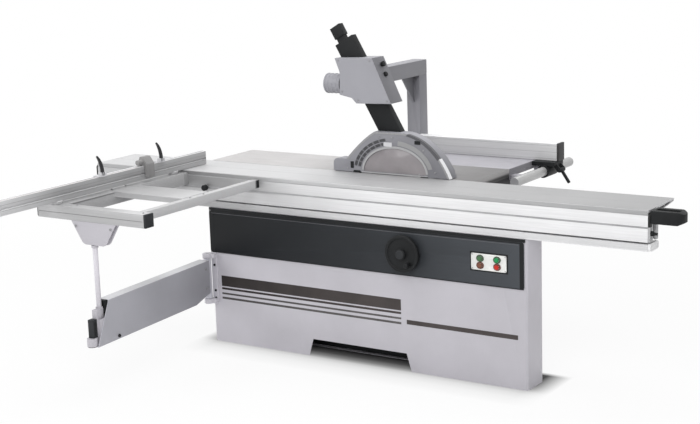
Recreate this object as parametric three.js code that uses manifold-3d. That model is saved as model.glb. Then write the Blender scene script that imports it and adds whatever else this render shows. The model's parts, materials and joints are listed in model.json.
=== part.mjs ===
// Sliding table panel saw, in millimetres.
// +X points to the infeed end where the operator stands, +Y to the rip fence side, +Z up.
// The origin is on the floor, under the middle of the cabinet.
import * as THREE from 'three';
import { mergeVertices } from 'three/addons/utils/BufferGeometryUtils.js';
import Module from 'manifold-3d';

const wasm = await Module();
wasm.setup();

// Clearances and shared fineness
const seatGap = 0.3;
const runGap = 1;
const slideGap = 1.5;
const cutOver = 5;
const roundSides = 28;
const smallSides = 14;
const arcSteps = 5;

// Cabinet
const cabinetWidth = 1790;
const cabinetDepth = 760;
const housingDepth = 150;
const sheet = 4;
const footCutWidth = 590;
const footCutHeight = 88;
const footCutSlope = 26;
const footCutCentreX = -12;
const rearOutfeedX = -700;
const rearInfeedX = 460;
const housingTopDepth = 104;
const rearDoorWidth = 420;
const rearDoorHeight = 420;
const dustPortRadius = 60;
const dustPortLength = 70;
const dustPortX = -380;
const dustPortZ = 250;

// Control panel, switches and handwheel
const panelHeight = 218;
const panelBottomZ = 472;
const panelThickness = 5;
const panelRightInset = 14;
const panelCorner = 14;
const switchPlateWidth = 179;
const switchPlateHeight = 77;
const switchPlateThickness = 3;
const switchPlateInset = 189;
const switchPlateZ = 582;
const buttonRadius = 11.5;
const buttonProud = 9;
const buttonStemRadius = 7;
const buttonStemLength = 14;
const buttonTravel = 3;
const buttonPitchX = 86;
const buttonPitchZ = 33;
const wheelRadius = 90;
const wheelX = 264;
const wheelZ = 583;
const wheelRimDepth = 20;
const wheelRimWidth = 17;
const wheelWebDepth = 8;
const wheelHubRadius = 26;
const wheelHubDepth = 34;
const wheelStandOff = 16;
const wheelShaftRadius = 9;
const wheelShaftLength = 70;
const gripRadius = 12;
const gripLength = 34;
const gripAngle = -0.9;

// Sliding table and its rail
const tableTopZ = 885;
const tableLength = 3100;
const tableInfeedX = 1460;
const tableDepth = 303;
const boxDepth = 95;
const boxWall = 8;
const boxBottomZ = 745;
const slabThickness = 35;
const lipThickness = 13;
const wingSkin = 5;
const grooveDepth = 3;
const topGrooveZ = 864;
const topGrooveHeight = 4;
const slotGrooveZ = 809;
const slotGrooveHeight = 8;
const edgeChamfer = 3;
const railBottomZ = 706;
const railFlange = 31;
const ribWidth = 29;
const ribTopZ = 818;
const capThickness = 13;
const capRise = 4;
const plateThickness = 10;
const plateDrop = 11;
const cageLength = 1200;
const cageSheet = 4;
const cageRollerCount = 4;
const cageSkirt = 45;

// Push handle and table lock
const handleReach = 142;
const handleWidth = 88;
const handleHeight = 56;
const handleGrip = 25;
const handleCorner = 38;
const handleZ = 856;
const handleBevel = 6;
const lockHubRadius = 11.5;
const lockHubDepth = 11;
const lockReach = 28;
const lockWedgeWidth = 11;
const lockZ = 784;

// Tables
const tableJoint = 6;
const mainTableOutfeedX = -1105;
const mainTableInfeedX = 475;
const mainTableDepth = 356;
const tableSkin = 12;
const tableSkirt = 40;
const skirtWall = 14;
const slotOutfeedX = -265;
const slotInfeedX = 315;
const slotEdge = 23;
const insertWidth = 43;
const insertThickness = 8;
const insertLedge = 9;
const extensionOutfeedX = -405;
const extensionDepth = 379;

// Saw unit
const bladeY = -55;
const bladeRadius = 157.5;
const bladeProud = 45;
const bladeThickness = 3.2;
const bladeBoreRadius = 15.5;
const bladeTeeth = 36;
const toothDepth = 7;
const flangeRadius = 34;
const flangeThickness = 9;
const nutRadius = 20;
const nutLength = 14;
const spindleRadius = 15;
const spindlePulleyRadius = 34;
const pulleyWidth = 20;
const trunnionInner = 190;
const trunnionBand = 36;
const trunnionPlate = 12;
const trunnionOutfeedX = -330;
const trunnionInfeedX = 350;
const trunnionFrontAngle = 58;
const trunnionRearAngle = 42;
const trunnionTieInset = 5;
const trunnionWeb = 40;
const trunnionBarRadius = 11;
const shoeBand = 38;
const shoeFrontAngle = 12;
const shoeRearAngle = 22;
const tiltPlateY = -25;
const tiltPlateThickness = 15;
const tiltPlateTopZ = 800;
const tiltPlateBottomZ = 545;
const tiltSlotHalfWidth = 28;
const tiltSlotBottomZ = 688;
const scoringEarTopZ = 852;
const scoringEarHalfWidth = 34;
const carrierHalfWidth = 55;
const carrierHalfHeight = 36;
const carrierDepth = 78;
const noseRadius = 24;
const knifeArmLength = 212;
const knifeArmHalfHeight = 16;
const knifeArmDepth = 13;
const knifeThickness = 2.8;
const knifeGap = 7;
const knifeWidth = 46;
const knifeTopDrop = 6;
const motorX = -130;
const motorZ = 615;
const motorRadius = 88;
const motorLength = 210;
const motorPulleyRadius = 48;
const motorShaftRadius = 14;
const motorPlate = 9;
const motorHoleRadius = 22;
const beltThickness = 5;
const beltGap = 0.6;
const scoringX = 235;
const scoringRadius = 60;
const scoringProud = 1.5;
const scoringThickness = 3.2;
const scoringShaftRadius = 10;
const scoringShaftLength = 96;
const scoringPulleyRadius = 20;

// Overarm guard
const guardLean = 30;
const guardMidY = -40;
const mastWidth = 112;
const mastDepth = 40;
const mastFootX = -2;
const mastFootZ = 1099;
const mastLength = 506;
const mastCapWidth = 62;
const mastCapLength = 60;
const mastCapOffset = -12;
const mastCapDepth = 36;
const mastNeck = 24;
const mastNeckWidth = 50;
const mastGap = 0.7;
const hoodWidth = 100;
const hoodWall = 5;
const hoodStep = 14;
const hoodBackDepth = 30;
const hoodBottomZ = 888;
const hoodNoseX = -317;
const hoodNoseTopZ = 951;
const hoodNoseRound = 30;
const hoodBrowX = -240;
const hoodBrowPullX = -147;
const hoodBrowPullZ = 1054;
const hoodTipX = 349;
const hoodShoulderX = 262;
const hoodShoulderZ = 1077;
const hoodCollarOutfeedX = -70;
const hoodCollarInfeedX = 96;
const hoodCollarZ = 1097;
const windowRadius = 177;
const windowCentreX = 40;
const windowSquash = 0.69;
const windowBottomZ = 896;
const windowPane = 3;
const housingPlateY = -110;
const housingBoxDepth = 110;
const housingCorners = [
  [-62, 1459],
  [-277, 1453],
  [-250, 1385],
  [-254, 1274],
  [-184, 1260],
  [-157, 1234],
  [41, 1240],
];
const hosePortRadius = 49;
const hosePortWall = 3.5;
const hosePortLength = 100;
const hosePortRootX = -252;
const hosePortZ = 1322;
const clampKnobRadius = 14;
const clampKnobLength = 16;
const clampKnobStem = 5;
const clampKnobAlong = 42;
const clampKnobY = -54;

// Overarm
const armSize = 80;
const armWall = 5;
const armX = -295;
const armBottomZ = 1281;
const postY = 715;
const postFootZ = 765;
const postBeamHeight = 60;
const gussetReach = 120;
const gussetDrop = 150;
const gussetPlate = 10;
const flangePlate = 8;
const flangeReach = 170;

// Rip fence
const barRadius = 24;
const barX = 545;
const barZ = 838;
const barStartY = 200;
const barLength = 640;
const lugHeight = 26;
const lugWidth = 40;
const lugFirstY = 330;
const lugSecondY = 610;
const ripFaceY = 580;
const ripFenceWidth = 58;
const ripFenceHeight = 87;
const ripFenceLength = 820;
const ripFenceInfeedX = 595;
const ripFenceLift = 1;
const fenceWall = 4;
const fenceSlot = 10;
const ripCapThickness = 13;
const ripCapProud = 3;
const carrierStartY = 520;
const carrierLength = 120;
const sleeveWall = 9;
const carrierSlotHeight = 34;
const carrierOutfeedX = 480;
const carrierInfeedX = 606;
const carrierPlate = 20;
const ripLeverX = 620;
const ripLeverZ = 843;
const ripLeverHubRadius = 12;
const ripLeverHubLength = 40;
const ripLeverLength = 78;
const ripLeverWidth = 13;
const ripLeverAngle = -56;
const ripEarThickness = 8;
const ripPinRadius = 5;

// Outrigger frame
const outriggerDepth = 932;
const outriggerTopZ = 875;
const outriggerHeight = 62;
const outriggerWall = 4;
const frontBarDepth = 56;
const frontBarOutfeedX = -1166;
const frontBarInfeedX = -523;
const leftBarX = -1074;
const leftBarWidth = 104;
const rightBarX = -589;
const rightBarWidth = 34;
const rightBarHeight = 42;
const rightBarDrop = 4;
const rungDepth = 188;
const rungHeight = 26;
const rungFrontY = -940;
const clampBlockDepth = 32;
const outriggerCapThickness = 12;
const bracketTopWidth = 267;
const bracketBottomWidth = 134;
const bracketShift = 13;
const bracketHeight = 106;
const bracketDepth = 34;
const bracketPlate = 6;
const bracketRound = 18;
const frameKnobX = -900;
const frameKnobZ = 808;
const frameKnobRadius = 15;
const frameKnobLength = 34;

// Crosscut fence
const crossFenceX = -1070;
const crossFenceWidth = 36;
const crossFenceHeight = 68;
const crossFenceLift = 12;
const crossFenceFarY = -190;
const crossFenceLength = 1520;
const crossGroove = 9;
const crossGrooveDepth = 8;
const fencePadRadius = 26;
const mitreY = -440;
const outerPadY = -1280;
const fenceClampY = -650;
const fenceClampLength = 56;
const fenceClampWall = 9;
const fenceClampRise = 44;
const fenceClampDrop = 10;
const clampScrewRadius = 13;
const clampScrewLength = 32;
const stopNearY = -990;
const stopFarY = -556;
const stopLength = 40;
const stopHeight = 10;
const stopEarHeight = 22;
const stopEarWall = 7;
const stopHingeRise = 15;
const stopHingeOut = 8;
const hookThickness = 9;
const hookWidth = 18;
const hookHeight = 90;
const hookLean = 30;

// Swinging support arm
const swingStandOff = 5;
const swingOut = 32;
const restSwing = 4;
const pinRadius = 9;
const barrelRadius = 19;
const beamWidth = 60;
const beamTopZ = 440;
const beamBottomZ = 236;
const beamWall = 4;
const beamStart = 27;
const beamTopLength = 850;
const beamBottomLength = 945;
const beamChamferLength = 128;
const beamChamferHeight = 34;
const lugThickness = 24;
const lugReach = 24;
const hingePlate = 8;
const hingePlateWidth = 34;
const innerGap = 0.7;
const innerLength = 840;
const innerStart = 75;
const beamRoomStart = 73;
const tongueLength = 35;
const tongueHeight = 86;
const tongueWidth = 20;
const tongueZ = 318;
const footRadius = 24;
const footHeight = 33;
const endBlockWall = 5;
const strutRadius = 12;
const endBlockLength = 24;
const footSeat = 5;
const strutAlong = 885;
const strutSeatZ = 405;
const strutSeatWidth = 26;
const strutSeatReach = 8;
const strutTopZ = 704;

// Finishes
const paintLight = { color: 0xbdbfc1, roughness: 0.45, metalness: 0.2 };
const paintGrey = { color: 0x9a9ea2, roughness: 0.45, metalness: 0.3 };
const paintDark = { color: 0x2a3036, roughness: 0.5, metalness: 0.1 };
const blackPlastic = { color: 0x17181a, roughness: 0.55, metalness: 0 };
const aluminium = { color: 0xd2d2d4, roughness: 0.35, metalness: 0.85 };
const castIron = { color: 0xb4b0b0, roughness: 0.4, metalness: 0.7 };
const steel = { color: 0xaaaaad, roughness: 0.3, metalness: 0.9 };
const rubberBlack = { color: 0x101010, roughness: 0.8, metalness: 0 };
const whitePlastic = { color: 0xeeeeea, roughness: 0.5, metalness: 0 };
const greenPlastic = { color: 0x1f8f4a, roughness: 0.4, metalness: 0 };
const redPlastic = { color: 0xc8281e, roughness: 0.4, metalness: 0 };
const smokedPlastic = { color: 0x6f6668, roughness: 0.2, metalness: 0 };

// Places that several pieces share
const frontY = -cabinetDepth / 2;
const backY = cabinetDepth / 2;
const leftX = -cabinetWidth / 2;
const rightX = cabinetWidth / 2;
const housingBackY = frontY + housingDepth;
const housingTopZ = railBottomZ - seatGap;
const tableOutfeedX = tableInfeedX - tableLength;
const tableRearY = frontY + tableDepth;
const mainTableFrontY = tableRearY + tableJoint;
const mainTableRearY = mainTableFrontY + mainTableDepth;
const tableUnderZ = tableTopZ - tableSkirt;
const skinUnderZ = tableTopZ - tableSkin;
const spindleZ = tableTopZ + bladeProud - bladeRadius;
const railRibMiddle = boxDepth / 2;
const innerRoofZ = tableTopZ - slabThickness;
const outriggerUnderZ = outriggerTopZ - outriggerHeight;
const outriggerFrontY = frontY - outriggerDepth;
const carrierTopZ = tableTopZ + ripFenceLift - seatGap;
const switchPlateX = rightX - switchPlateInset;
const swingX = leftX - swingStandOff;
const swingY = frontY - swingOut;
const swing = THREE.MathUtils.degToRad(restSwing);
const bracketX = swingX + strutAlong * Math.sin(swing) + bracketShift;
const lean = THREE.MathUtils.degToRad(guardLean);

const saw = new THREE.Group();

// Every piece is one mesh with its own material
function addPiece(name, geometry, finish, parent = saw) {
  const piece = new THREE.Mesh(geometry, new THREE.MeshStandardMaterial(finish));
  piece.name = name;
  parent.add(piece);
  return piece;
}

// Outlines and simple solids
function outline(points) {
  return new THREE.Shape(points.map(([a, b]) => new THREE.Vector2(a, b)));
}

function hole(points) {
  return new THREE.Path(points.map(([a, b]) => new THREE.Vector2(a, b)));
}

function roundedRectangle(a0, a1, b0, b1, radius) {
  const shape = new THREE.Shape();
  shape.moveTo(a0 + radius, b0);
  shape.lineTo(a1 - radius, b0);
  shape.absarc(a1 - radius, b0 + radius, radius, -Math.PI / 2, 0);
  shape.lineTo(a1, b1 - radius);
  shape.absarc(a1 - radius, b1 - radius, radius, 0, Math.PI / 2);
  shape.lineTo(a0 + radius, b1);
  shape.absarc(a0 + radius, b1 - radius, radius, Math.PI / 2, Math.PI);
  shape.lineTo(a0, b0 + radius);
  shape.absarc(a0 + radius, b0 + radius, radius, Math.PI, 1.5 * Math.PI);
  return shape;
}

function extrude(shape, depth, steps = arcSteps) {
  return new THREE.ExtrudeGeometry(shape, { depth, bevelEnabled: false, curveSegments: steps });
}

// The shape's own axes are Y and Z, and it runs along X
function alongX(shape, x0, x1, steps) {
  const basis = new THREE.Matrix4().makeBasis(
    new THREE.Vector3(0, 1, 0),
    new THREE.Vector3(0, 0, 1),
    new THREE.Vector3(1, 0, 0),
  );
  return extrude(shape, x1 - x0, steps).applyMatrix4(basis).translate(x0, 0, 0);
}

// The shape's own axes are X and Z, and it runs along Y
function alongY(shape, y0, y1, steps) {
  const basis = new THREE.Matrix4().makeBasis(
    new THREE.Vector3(1, 0, 0),
    new THREE.Vector3(0, 0, 1),
    new THREE.Vector3(0, -1, 0),
  );
  return extrude(shape, y1 - y0, steps).applyMatrix4(basis).translate(0, y1, 0);
}

// The shape's own axes are X and Y, and it runs along Z
function alongZ(shape, z0, z1, steps) {
  return extrude(shape, z1 - z0, steps).translate(0, 0, z0);
}

function block(x0, x1, y0, y1, z0, z1) {
  return new THREE.BoxGeometry(x1 - x0, y1 - y0, z1 - z0).translate(
    (x0 + x1) / 2, (y0 + y1) / 2, (z0 + z1) / 2,
  );
}

function rodZ(radius, x, y, z0, z1, sides = roundSides) {
  const rod = new THREE.CylinderGeometry(radius, radius, z1 - z0, sides).rotateX(Math.PI / 2);
  return rod.translate(x, y, (z0 + z1) / 2);
}

function rodY(radius, x, z, y0, y1, sides = roundSides) {
  return new THREE.CylinderGeometry(radius, radius, y1 - y0, sides).translate(x, (y0 + y1) / 2, z);
}

function rodX(radius, y, z, x0, x1, sides = roundSides) {
  const rod = new THREE.CylinderGeometry(radius, radius, x1 - x0, sides).rotateZ(Math.PI / 2);
  return rod.translate((x0 + x1) / 2, y, z);
}

// A turned profile of radius and height pairs, with its axis along Y
function turnedY(points, x, z, sides = roundSides) {
  const profile = points.map(([radius, y]) => new THREE.Vector2(radius, y));
  return new THREE.LatheGeometry(profile, sides).translate(x, 0, z);
}

// Solids that are cut and joined
function toSolid(geometry) {
  const bare = geometry.clone();
  bare.deleteAttribute('normal');
  bare.deleteAttribute('uv');
  const merged = mergeVertices(bare);
  return new wasm.Manifold(
    new wasm.Mesh({
      numProp: 3,
      vertProperties: new Float32Array(merged.attributes.position.array),
      triVerts: new Uint32Array(merged.index.array),
    }),
  );
}

function toGeometry(solid) {
  const mesh = solid.getMesh();
  const geometry = new THREE.BufferGeometry();
  geometry.setAttribute('position', new THREE.BufferAttribute(mesh.vertProperties, 3));
  geometry.setIndex(new THREE.BufferAttribute(mesh.triVerts, 1));
  return geometry;
}

function join(...geometries) {
  return toGeometry(geometries.map(toSolid).reduce((whole, next) => whole.add(next)));
}

function cut(base, ...tools) {
  return toGeometry(tools.map(toSolid).reduce((whole, tool) => whole.subtract(tool), toSolid(base)));
}

// Front housing: a sheet shell, open to the rear cabinet and below, with a foot cut-out
function frontHousing() {
  const corner = sheet * 3;
  const shell = alongZ(
    roundedRectangle(leftX, rightX, frontY, housingBackY + corner, corner), 0, housingTopZ,
  );
  const backTrim = block(
    leftX - cutOver, rightX + cutOver, housingBackY,
    housingBackY + corner + cutOver, -cutOver, housingTopZ + cutOver,
  );
  const room = block(
    leftX + sheet, rightX - sheet, frontY + sheet, housingBackY - sheet, -cutOver, housingTopZ - sheet,
  );
  const backOpening = block(
    rearOutfeedX + sheet * 3, rearInfeedX - sheet * 3, frontY + housingTopDepth, housingBackY + cutOver,
    -cutOver, housingTopZ + cutOver,
  );
  const halfBottom = footCutWidth / 2;
  const halfTop = halfBottom - footCutSlope;
  const footCut = alongY(
    outline([
      [footCutCentreX - halfBottom, -cutOver],
      [footCutCentreX + halfBottom, -cutOver],
      [footCutCentreX + halfBottom, 0],
      [footCutCentreX + halfTop, footCutHeight],
      [footCutCentreX - halfTop, footCutHeight],
      [footCutCentreX - halfBottom, 0],
    ]),
    frontY - cutOver,
    frontY + sheet + cutOver,
  );
  const shaftHole = rodY(
    wheelShaftRadius + runGap, wheelX, wheelZ, frontY - cutOver, frontY + sheet + cutOver, smallSides,
  );
  return cut(shell, backTrim, room, backOpening, footCut, shaftHole, ...buttonHoles());
}

function buttonPlaces() {
  const places = [];
  for (const sideX of [-1, 1]) {
    for (const sideZ of [-1, 1]) {
      places.push([switchPlateX + (sideX * buttonPitchX) / 2, switchPlateZ + (sideZ * buttonPitchZ) / 2]);
    }
  }
  return places;
}

function buttonHoles() {
  const holeRadius = buttonStemRadius + runGap;
  const holeStart = frontY - panelThickness - switchPlateThickness - cutOver;
  const holeEnd = frontY + sheet + cutOver;
  return buttonPlaces().map(([x, z]) => rodY(holeRadius, x, z, holeStart, holeEnd, smallSides));
}

// Rear cabinet: four walls and a floor, open to the housing and to the tables
function rearCabinet() {
  const x0 = rearOutfeedX;
  const x1 = rearInfeedX;
  const y0 = housingBackY + seatGap;
  const z1 = tableUnderZ - seatGap;
  const shell = block(x0, x1, y0, backY, 0, z1);
  const room = block(x0 + sheet, x1 - sheet, y0 - cutOver, backY - sheet, sheet, z1 + cutOver);
  const portHole = rodY(
    dustPortRadius - sheet, dustPortX, dustPortZ, backY - sheet - cutOver, backY + dustPortLength + cutOver,
  );
  const port = rodY(dustPortRadius, dustPortX, dustPortZ, backY - sheet / 2, backY + dustPortLength);
  return cut(join(cut(shell, room), port, rearDoor()), portHole);
}

// The pressed door panel on the back of the cabinet
function rearDoor() {
  const middleX = rearDoorWidth / 2;
  const bottomZ = dustPortZ - dustPortRadius;
  const doorShape = roundedRectangle(
    middleX - rearDoorWidth / 2, middleX + rearDoorWidth / 2, bottomZ, bottomZ + rearDoorHeight, sheet * 3,
  );
  return alongY(doorShape, backY - sheet / 2, backY + sheet);
}

function controlPanel() {
  const x1 = rightX - panelRightInset;
  const panel = alongY(
    roundedRectangle(leftX, x1, panelBottomZ, panelBottomZ + panelHeight, panelCorner),
    frontY - panelThickness,
    frontY - seatGap,
  );
  const shaftHole = rodY(
    wheelShaftRadius + runGap, wheelX, wheelZ, frontY - panelThickness - cutOver, frontY, smallSides,
  );
  return cut(panel, shaftHole, ...buttonHoles());
}

function switchPlate() {
  const plate = alongY(
    roundedRectangle(
      switchPlateX - switchPlateWidth / 2, switchPlateX + switchPlateWidth / 2,
      switchPlateZ - switchPlateHeight / 2, switchPlateZ + switchPlateHeight / 2, panelCorner / 2,
    ),
    frontY - panelThickness - switchPlateThickness,
    frontY - panelThickness - seatGap,
  );
  return cut(plate, ...buttonHoles());
}

// A push button: a domed cap on a stem that runs through the panel
function pushButton(x, z) {
  const plateFace = frontY - panelThickness - switchPlateThickness;
  const capBack = plateFace - buttonTravel - seatGap;
  const capFront = capBack - buttonProud;
  const stemEnd = capBack + buttonTravel + seatGap + buttonStemLength;
  return turnedY(
    [
      [0, capFront],
      [buttonRadius * 0.8, capFront],
      [buttonRadius, capFront + buttonTravel],
      [buttonRadius, capBack],
      [buttonStemRadius, capBack],
      [buttonStemRadius, stemEnd],
      [0, stemEnd],
    ],
    x, z, smallSides,
  );
}

// Handwheel: a flat dished disc with a rim, a hub and its shaft
function handwheel() {
  const hubBack = frontY - panelThickness - wheelStandOff;
  const rimBack = hubBack;
  const rimFront = rimBack - wheelRimDepth;
  const webBack = rimBack - (wheelRimDepth - wheelWebDepth) / 2;
  const webFront = webBack - wheelWebDepth;
  const hubFront = hubBack - wheelHubDepth;
  const shaftEnd = frontY + wheelShaftLength;
  return turnedY(
    [
      [0, hubFront],
      [wheelHubRadius * 0.8, hubFront],
      [wheelHubRadius, hubFront + edgeChamfer],
      [wheelHubRadius, webFront],
      [wheelRadius - wheelRimWidth, webFront],
      [wheelRadius - wheelRimWidth + edgeChamfer, rimFront],
      [wheelRadius - edgeChamfer, rimFront],
      [wheelRadius, rimFront + edgeChamfer],
      [wheelRadius, rimBack - edgeChamfer],
      [wheelRadius - edgeChamfer, rimBack],
      [wheelRadius - wheelRimWidth + edgeChamfer, rimBack],
      [wheelRadius - wheelRimWidth, webBack],
      [wheelHubRadius, webBack],
      [wheelHubRadius, hubBack],
      [wheelShaftRadius, hubBack],
      [wheelShaftRadius, shaftEnd],
      [0, shaftEnd],
    ],
    wheelX, wheelZ,
  );
}

function handwheelGrip() {
  const ring = wheelRadius - wheelRimWidth - gripRadius - runGap;
  const x = wheelX + ring * Math.cos(gripAngle);
  const z = wheelZ + ring * Math.sin(gripAngle);
  const rimBack = frontY - panelThickness - wheelStandOff;
  const webFront = rimBack - (wheelRimDepth - wheelWebDepth) / 2 - wheelWebDepth;
  const base = webFront - seatGap;
  return turnedY(
    [
      [0, base - gripLength],
      [gripRadius * 0.7, base - gripLength],
      [gripRadius, base - gripLength + edgeChamfer],
      [gripRadius * 0.75, base],
      [0, base],
    ],
    x, z, smallSides,
  );
}

// Base rail: a flange on the cabinet with a rib that guides the roller cage
function baseRail() {
  const ribFront = frontY + railRibMiddle - ribWidth / 2;
  const ribBack = ribFront + ribWidth;
  const flangeTop = railBottomZ + railFlange;
  return alongX(
    outline([
      [frontY, railBottomZ],
      [frontY + boxDepth, railBottomZ],
      [frontY + boxDepth, flangeTop],
      [ribBack, flangeTop],
      [ribBack, ribTopZ],
      [ribFront, ribTopZ],
      [ribFront, flangeTop],
      [frontY, flangeTop],
    ]),
    tableOutfeedX,
    tableInfeedX,
  );
}

function railCap() {
  const x0 = tableInfeedX + seatGap;
  const shape = roundedRectangle(
    frontY, frontY + boxDepth, railBottomZ, railBottomZ + railFlange + capRise, capThickness,
  );
  return alongX(shape, x0, x0 + capThickness);
}

// Sliding table: a box that rides over the rail, and a tapered wing towards the blade
function slidingTable() {
  const lipUnder = tableTopZ - lipThickness;
  const shape = outline([
    [frontY, boxBottomZ],
    ...grooveInFront(slotGrooveZ, slotGrooveHeight),
    ...grooveInFront(topGrooveZ, topGrooveHeight),
    [frontY, tableTopZ - edgeChamfer],
    [frontY + edgeChamfer, tableTopZ],
    [tableRearY, tableTopZ],
    [tableRearY, lipUnder],
    [frontY + boxDepth, innerRoofZ],
    [frontY + boxDepth, boxBottomZ],
    [frontY + boxDepth - boxWall, boxBottomZ],
    [frontY + boxDepth - boxWall, innerRoofZ],
    [frontY + boxWall, innerRoofZ],
    [frontY + boxWall, boxBottomZ],
  ].reverse());
  shape.holes = wingChambers(lipUnder);
  return alongX(shape, tableOutfeedX, tableInfeedX);
}

function grooveInFront(middleZ, height) {
  return [
    [frontY, middleZ - height / 2],
    [frontY + grooveDepth, middleZ - height / 2],
    [frontY + grooveDepth, middleZ + height / 2],
    [frontY, middleZ + height / 2],
  ];
}

// The hollow chambers that lighten the slab and the wing
function wingChambers(lipUnder) {
  const roof = tableTopZ - wingSkin;
  const chamberBounds = [
    [boxWall, boxDepth - boxWall],
    [boxDepth, (boxDepth + tableDepth) / 2 - wingSkin],
    [(boxDepth + tableDepth) / 2, tableDepth - boxDepth / 2],
  ];
  return chamberBounds.map(([near, far]) =>
    hole([
      [frontY + near, underside(near, lipUnder) + wingSkin],
      [frontY + near, roof],
      [frontY + far, roof],
      [frontY + far, underside(far, lipUnder) + wingSkin],
    ]),
  );
}

function underside(along, lipUnder) {
  const share = Math.max(0, along - boxDepth) / (tableDepth - boxDepth);
  return innerRoofZ + share * (lipUnder - innerRoofZ);
}

// End plate of the sliding table, notched so that it passes over the rail
function tableEndPlate(x0, x1) {
  const middleY = frontY + railRibMiddle;
  const notchHalf = ribWidth / 2 + cageSheet + slideGap * 2;
  const bottom = boxBottomZ + slideGap;
  const top = tableTopZ - plateDrop;
  return alongX(
    outline([
      [frontY, bottom],
      [middleY - notchHalf, bottom],
      [middleY - notchHalf, innerRoofZ],
      [middleY + notchHalf, innerRoofZ],
      [middleY + notchHalf, bottom],
      [frontY + boxDepth, bottom],
      [frontY + boxDepth, top],
      [frontY + plateDrop, top],
      [frontY, top - plateDrop],
    ]),
    x0,
    x1,
  );
}

// Roller cage between the rail and the sliding table, with its rollers
function rollerCage() {
  const middleX = tableInfeedX - tableLength / 2;
  const x0 = middleX - cageLength / 2;
  const x1 = middleX + cageLength / 2;
  const middleY = frontY + railRibMiddle;
  const innerHalf = ribWidth / 2 + slideGap;
  const outerHalf = innerHalf + cageSheet;
  const rollerRadius = (innerRoofZ - ribTopZ) / 2 - seatGap;
  const rollerZ = (innerRoofZ + ribTopZ) / 2;
  const webTop = rollerZ + cageSheet / 2;
  const webBottom = rollerZ - cageSheet / 2;
  const channel = alongX(
    outline([
      [middleY - outerHalf, ribTopZ - cageSkirt],
      [middleY - innerHalf, ribTopZ - cageSkirt],
      [middleY - innerHalf, webBottom],
      [middleY + innerHalf, webBottom],
      [middleY + innerHalf, ribTopZ - cageSkirt],
      [middleY + outerHalf, ribTopZ - cageSkirt],
      [middleY + outerHalf, webTop],
      [middleY - outerHalf, webTop],
    ]),
    x0,
    x1,
  );
  const pitch = cageLength / cageRollerCount;
  const rollers = [];
  for (let i = 0; i < cageRollerCount; i += 1) {
    const x = x0 + pitch * (i + 0.5);
    rollers.push(rodY(rollerRadius, x, rollerZ, middleY - ribWidth / 2, middleY + ribWidth / 2, smallSides));
  }
  return join(channel, ...rollers);
}

// Push handle: a bow that stands out from the end plate
function pushHandle() {
  const x0 = tableInfeedX + plateThickness + seatGap * 2;
  const y0 = frontY + edgeChamfer;
  const y1 = y0 + handleWidth;
  const bow = new THREE.Shape();
  bow.moveTo(x0, y0);
  bow.lineTo(x0 + handleReach - handleCorner, y0);
  bow.absarc(x0 + handleReach - handleCorner, y0 + handleCorner, handleCorner, -Math.PI / 2, 0);
  bow.lineTo(x0 + handleReach, y1 - handleCorner);
  bow.absarc(x0 + handleReach - handleCorner, y1 - handleCorner, handleCorner, 0, Math.PI / 2);
  bow.lineTo(x0, y1);
  bow.holes = [
    hole([
      [x0 + handleGrip / 2, y0 + handleGrip],
      [x0 + handleReach - handleGrip, y0 + handleGrip],
      [x0 + handleReach - handleGrip, y1 - handleGrip],
      [x0 + handleGrip / 2, y1 - handleGrip],
    ]),
  ];
  const body = alongZ(bow, handleZ - handleHeight / 2, handleZ + handleHeight / 2);
  const slopes = [1, -1].map((side) =>
    alongY(
      outline([
        [x0 + handleReach - handleGrip, handleZ + side * (handleHeight / 2 + cutOver)],
        [x0 + handleReach + cutOver, handleZ + side * (handleHeight / 2 + cutOver)],
        [x0 + handleReach + cutOver, handleZ + side * (handleHeight / 2 - handleBevel * 2)],
        [x0 + handleReach - handleGrip, handleZ + side * handleHeight / 2],
      ]),
      y0 - cutOver,
      y1 + cutOver,
    ),
  );
  return cut(body, ...slopes);
}

// Lock lever of the sliding table: a turning cam with a short wedge to grip
function lockLever() {
  const x0 = tableInfeedX + plateThickness + seatGap * 2;
  const y = frontY + lockHubRadius + edgeChamfer / 2;
  const hub = rodX(lockHubRadius, y, lockZ, x0, x0 + lockHubDepth, smallSides);
  const wedge = alongY(
    outline([
      [x0 + lockHubDepth / 2, lockZ - lockHubRadius * 0.9],
      [x0 + lockReach, lockZ - lockHubRadius * 0.3],
      [x0 + lockReach, lockZ + lockHubRadius * 0.4],
      [x0 + lockHubDepth / 2, lockZ + lockHubRadius * 0.5],
    ]),
    y - lockWedgeWidth / 2,
    y + lockWedgeWidth / 2,
  );
  return join(hub, wedge);
}

// Main table: a casting with a skirt below, opened for the blade
function mainTable() {
  const body = block(
    mainTableOutfeedX, mainTableInfeedX, mainTableFrontY, mainTableRearY, tableUnderZ, tableTopZ,
  );
  const pocketBounds = [
    [mainTableOutfeedX + skirtWall, rearOutfeedX],
    [rearOutfeedX + skirtWall, mainTableInfeedX - skirtWall],
  ];
  const pockets = pocketBounds.map(([x0, x1]) =>
    block(
      x0, x1, mainTableFrontY + skirtWall, mainTableRearY - skirtWall, tableUnderZ - cutOver, skinUnderZ,
    ),
  );
  const openingRear = bladeY + slotEdge / 2 + insertWidth - insertLedge;
  const opening = block(
    slotOutfeedX, slotInfeedX, mainTableFrontY - cutOver,
    openingRear, tableUnderZ - cutOver, tableTopZ + cutOver,
  );
  const ledgeRear = openingRear + insertLedge;
  const ledge = block(
    slotOutfeedX, slotInfeedX, mainTableFrontY - cutOver, ledgeRear,
    tableTopZ - insertThickness - seatGap * 2, tableTopZ + cutOver,
  );
  return cut(body, ...pockets, opening, ledge);
}

// Throat insert: the replaceable strip beside the blade
function throatInsert() {
  const front = bladeY + slotEdge / 2 - insertLedge / 2;
  const rear = bladeY + slotEdge / 2 + insertWidth - seatGap;
  return block(
    slotOutfeedX + seatGap, slotInfeedX - seatGap, front, rear,
    tableTopZ - insertThickness - seatGap, tableTopZ - seatGap,
  );
}

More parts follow.
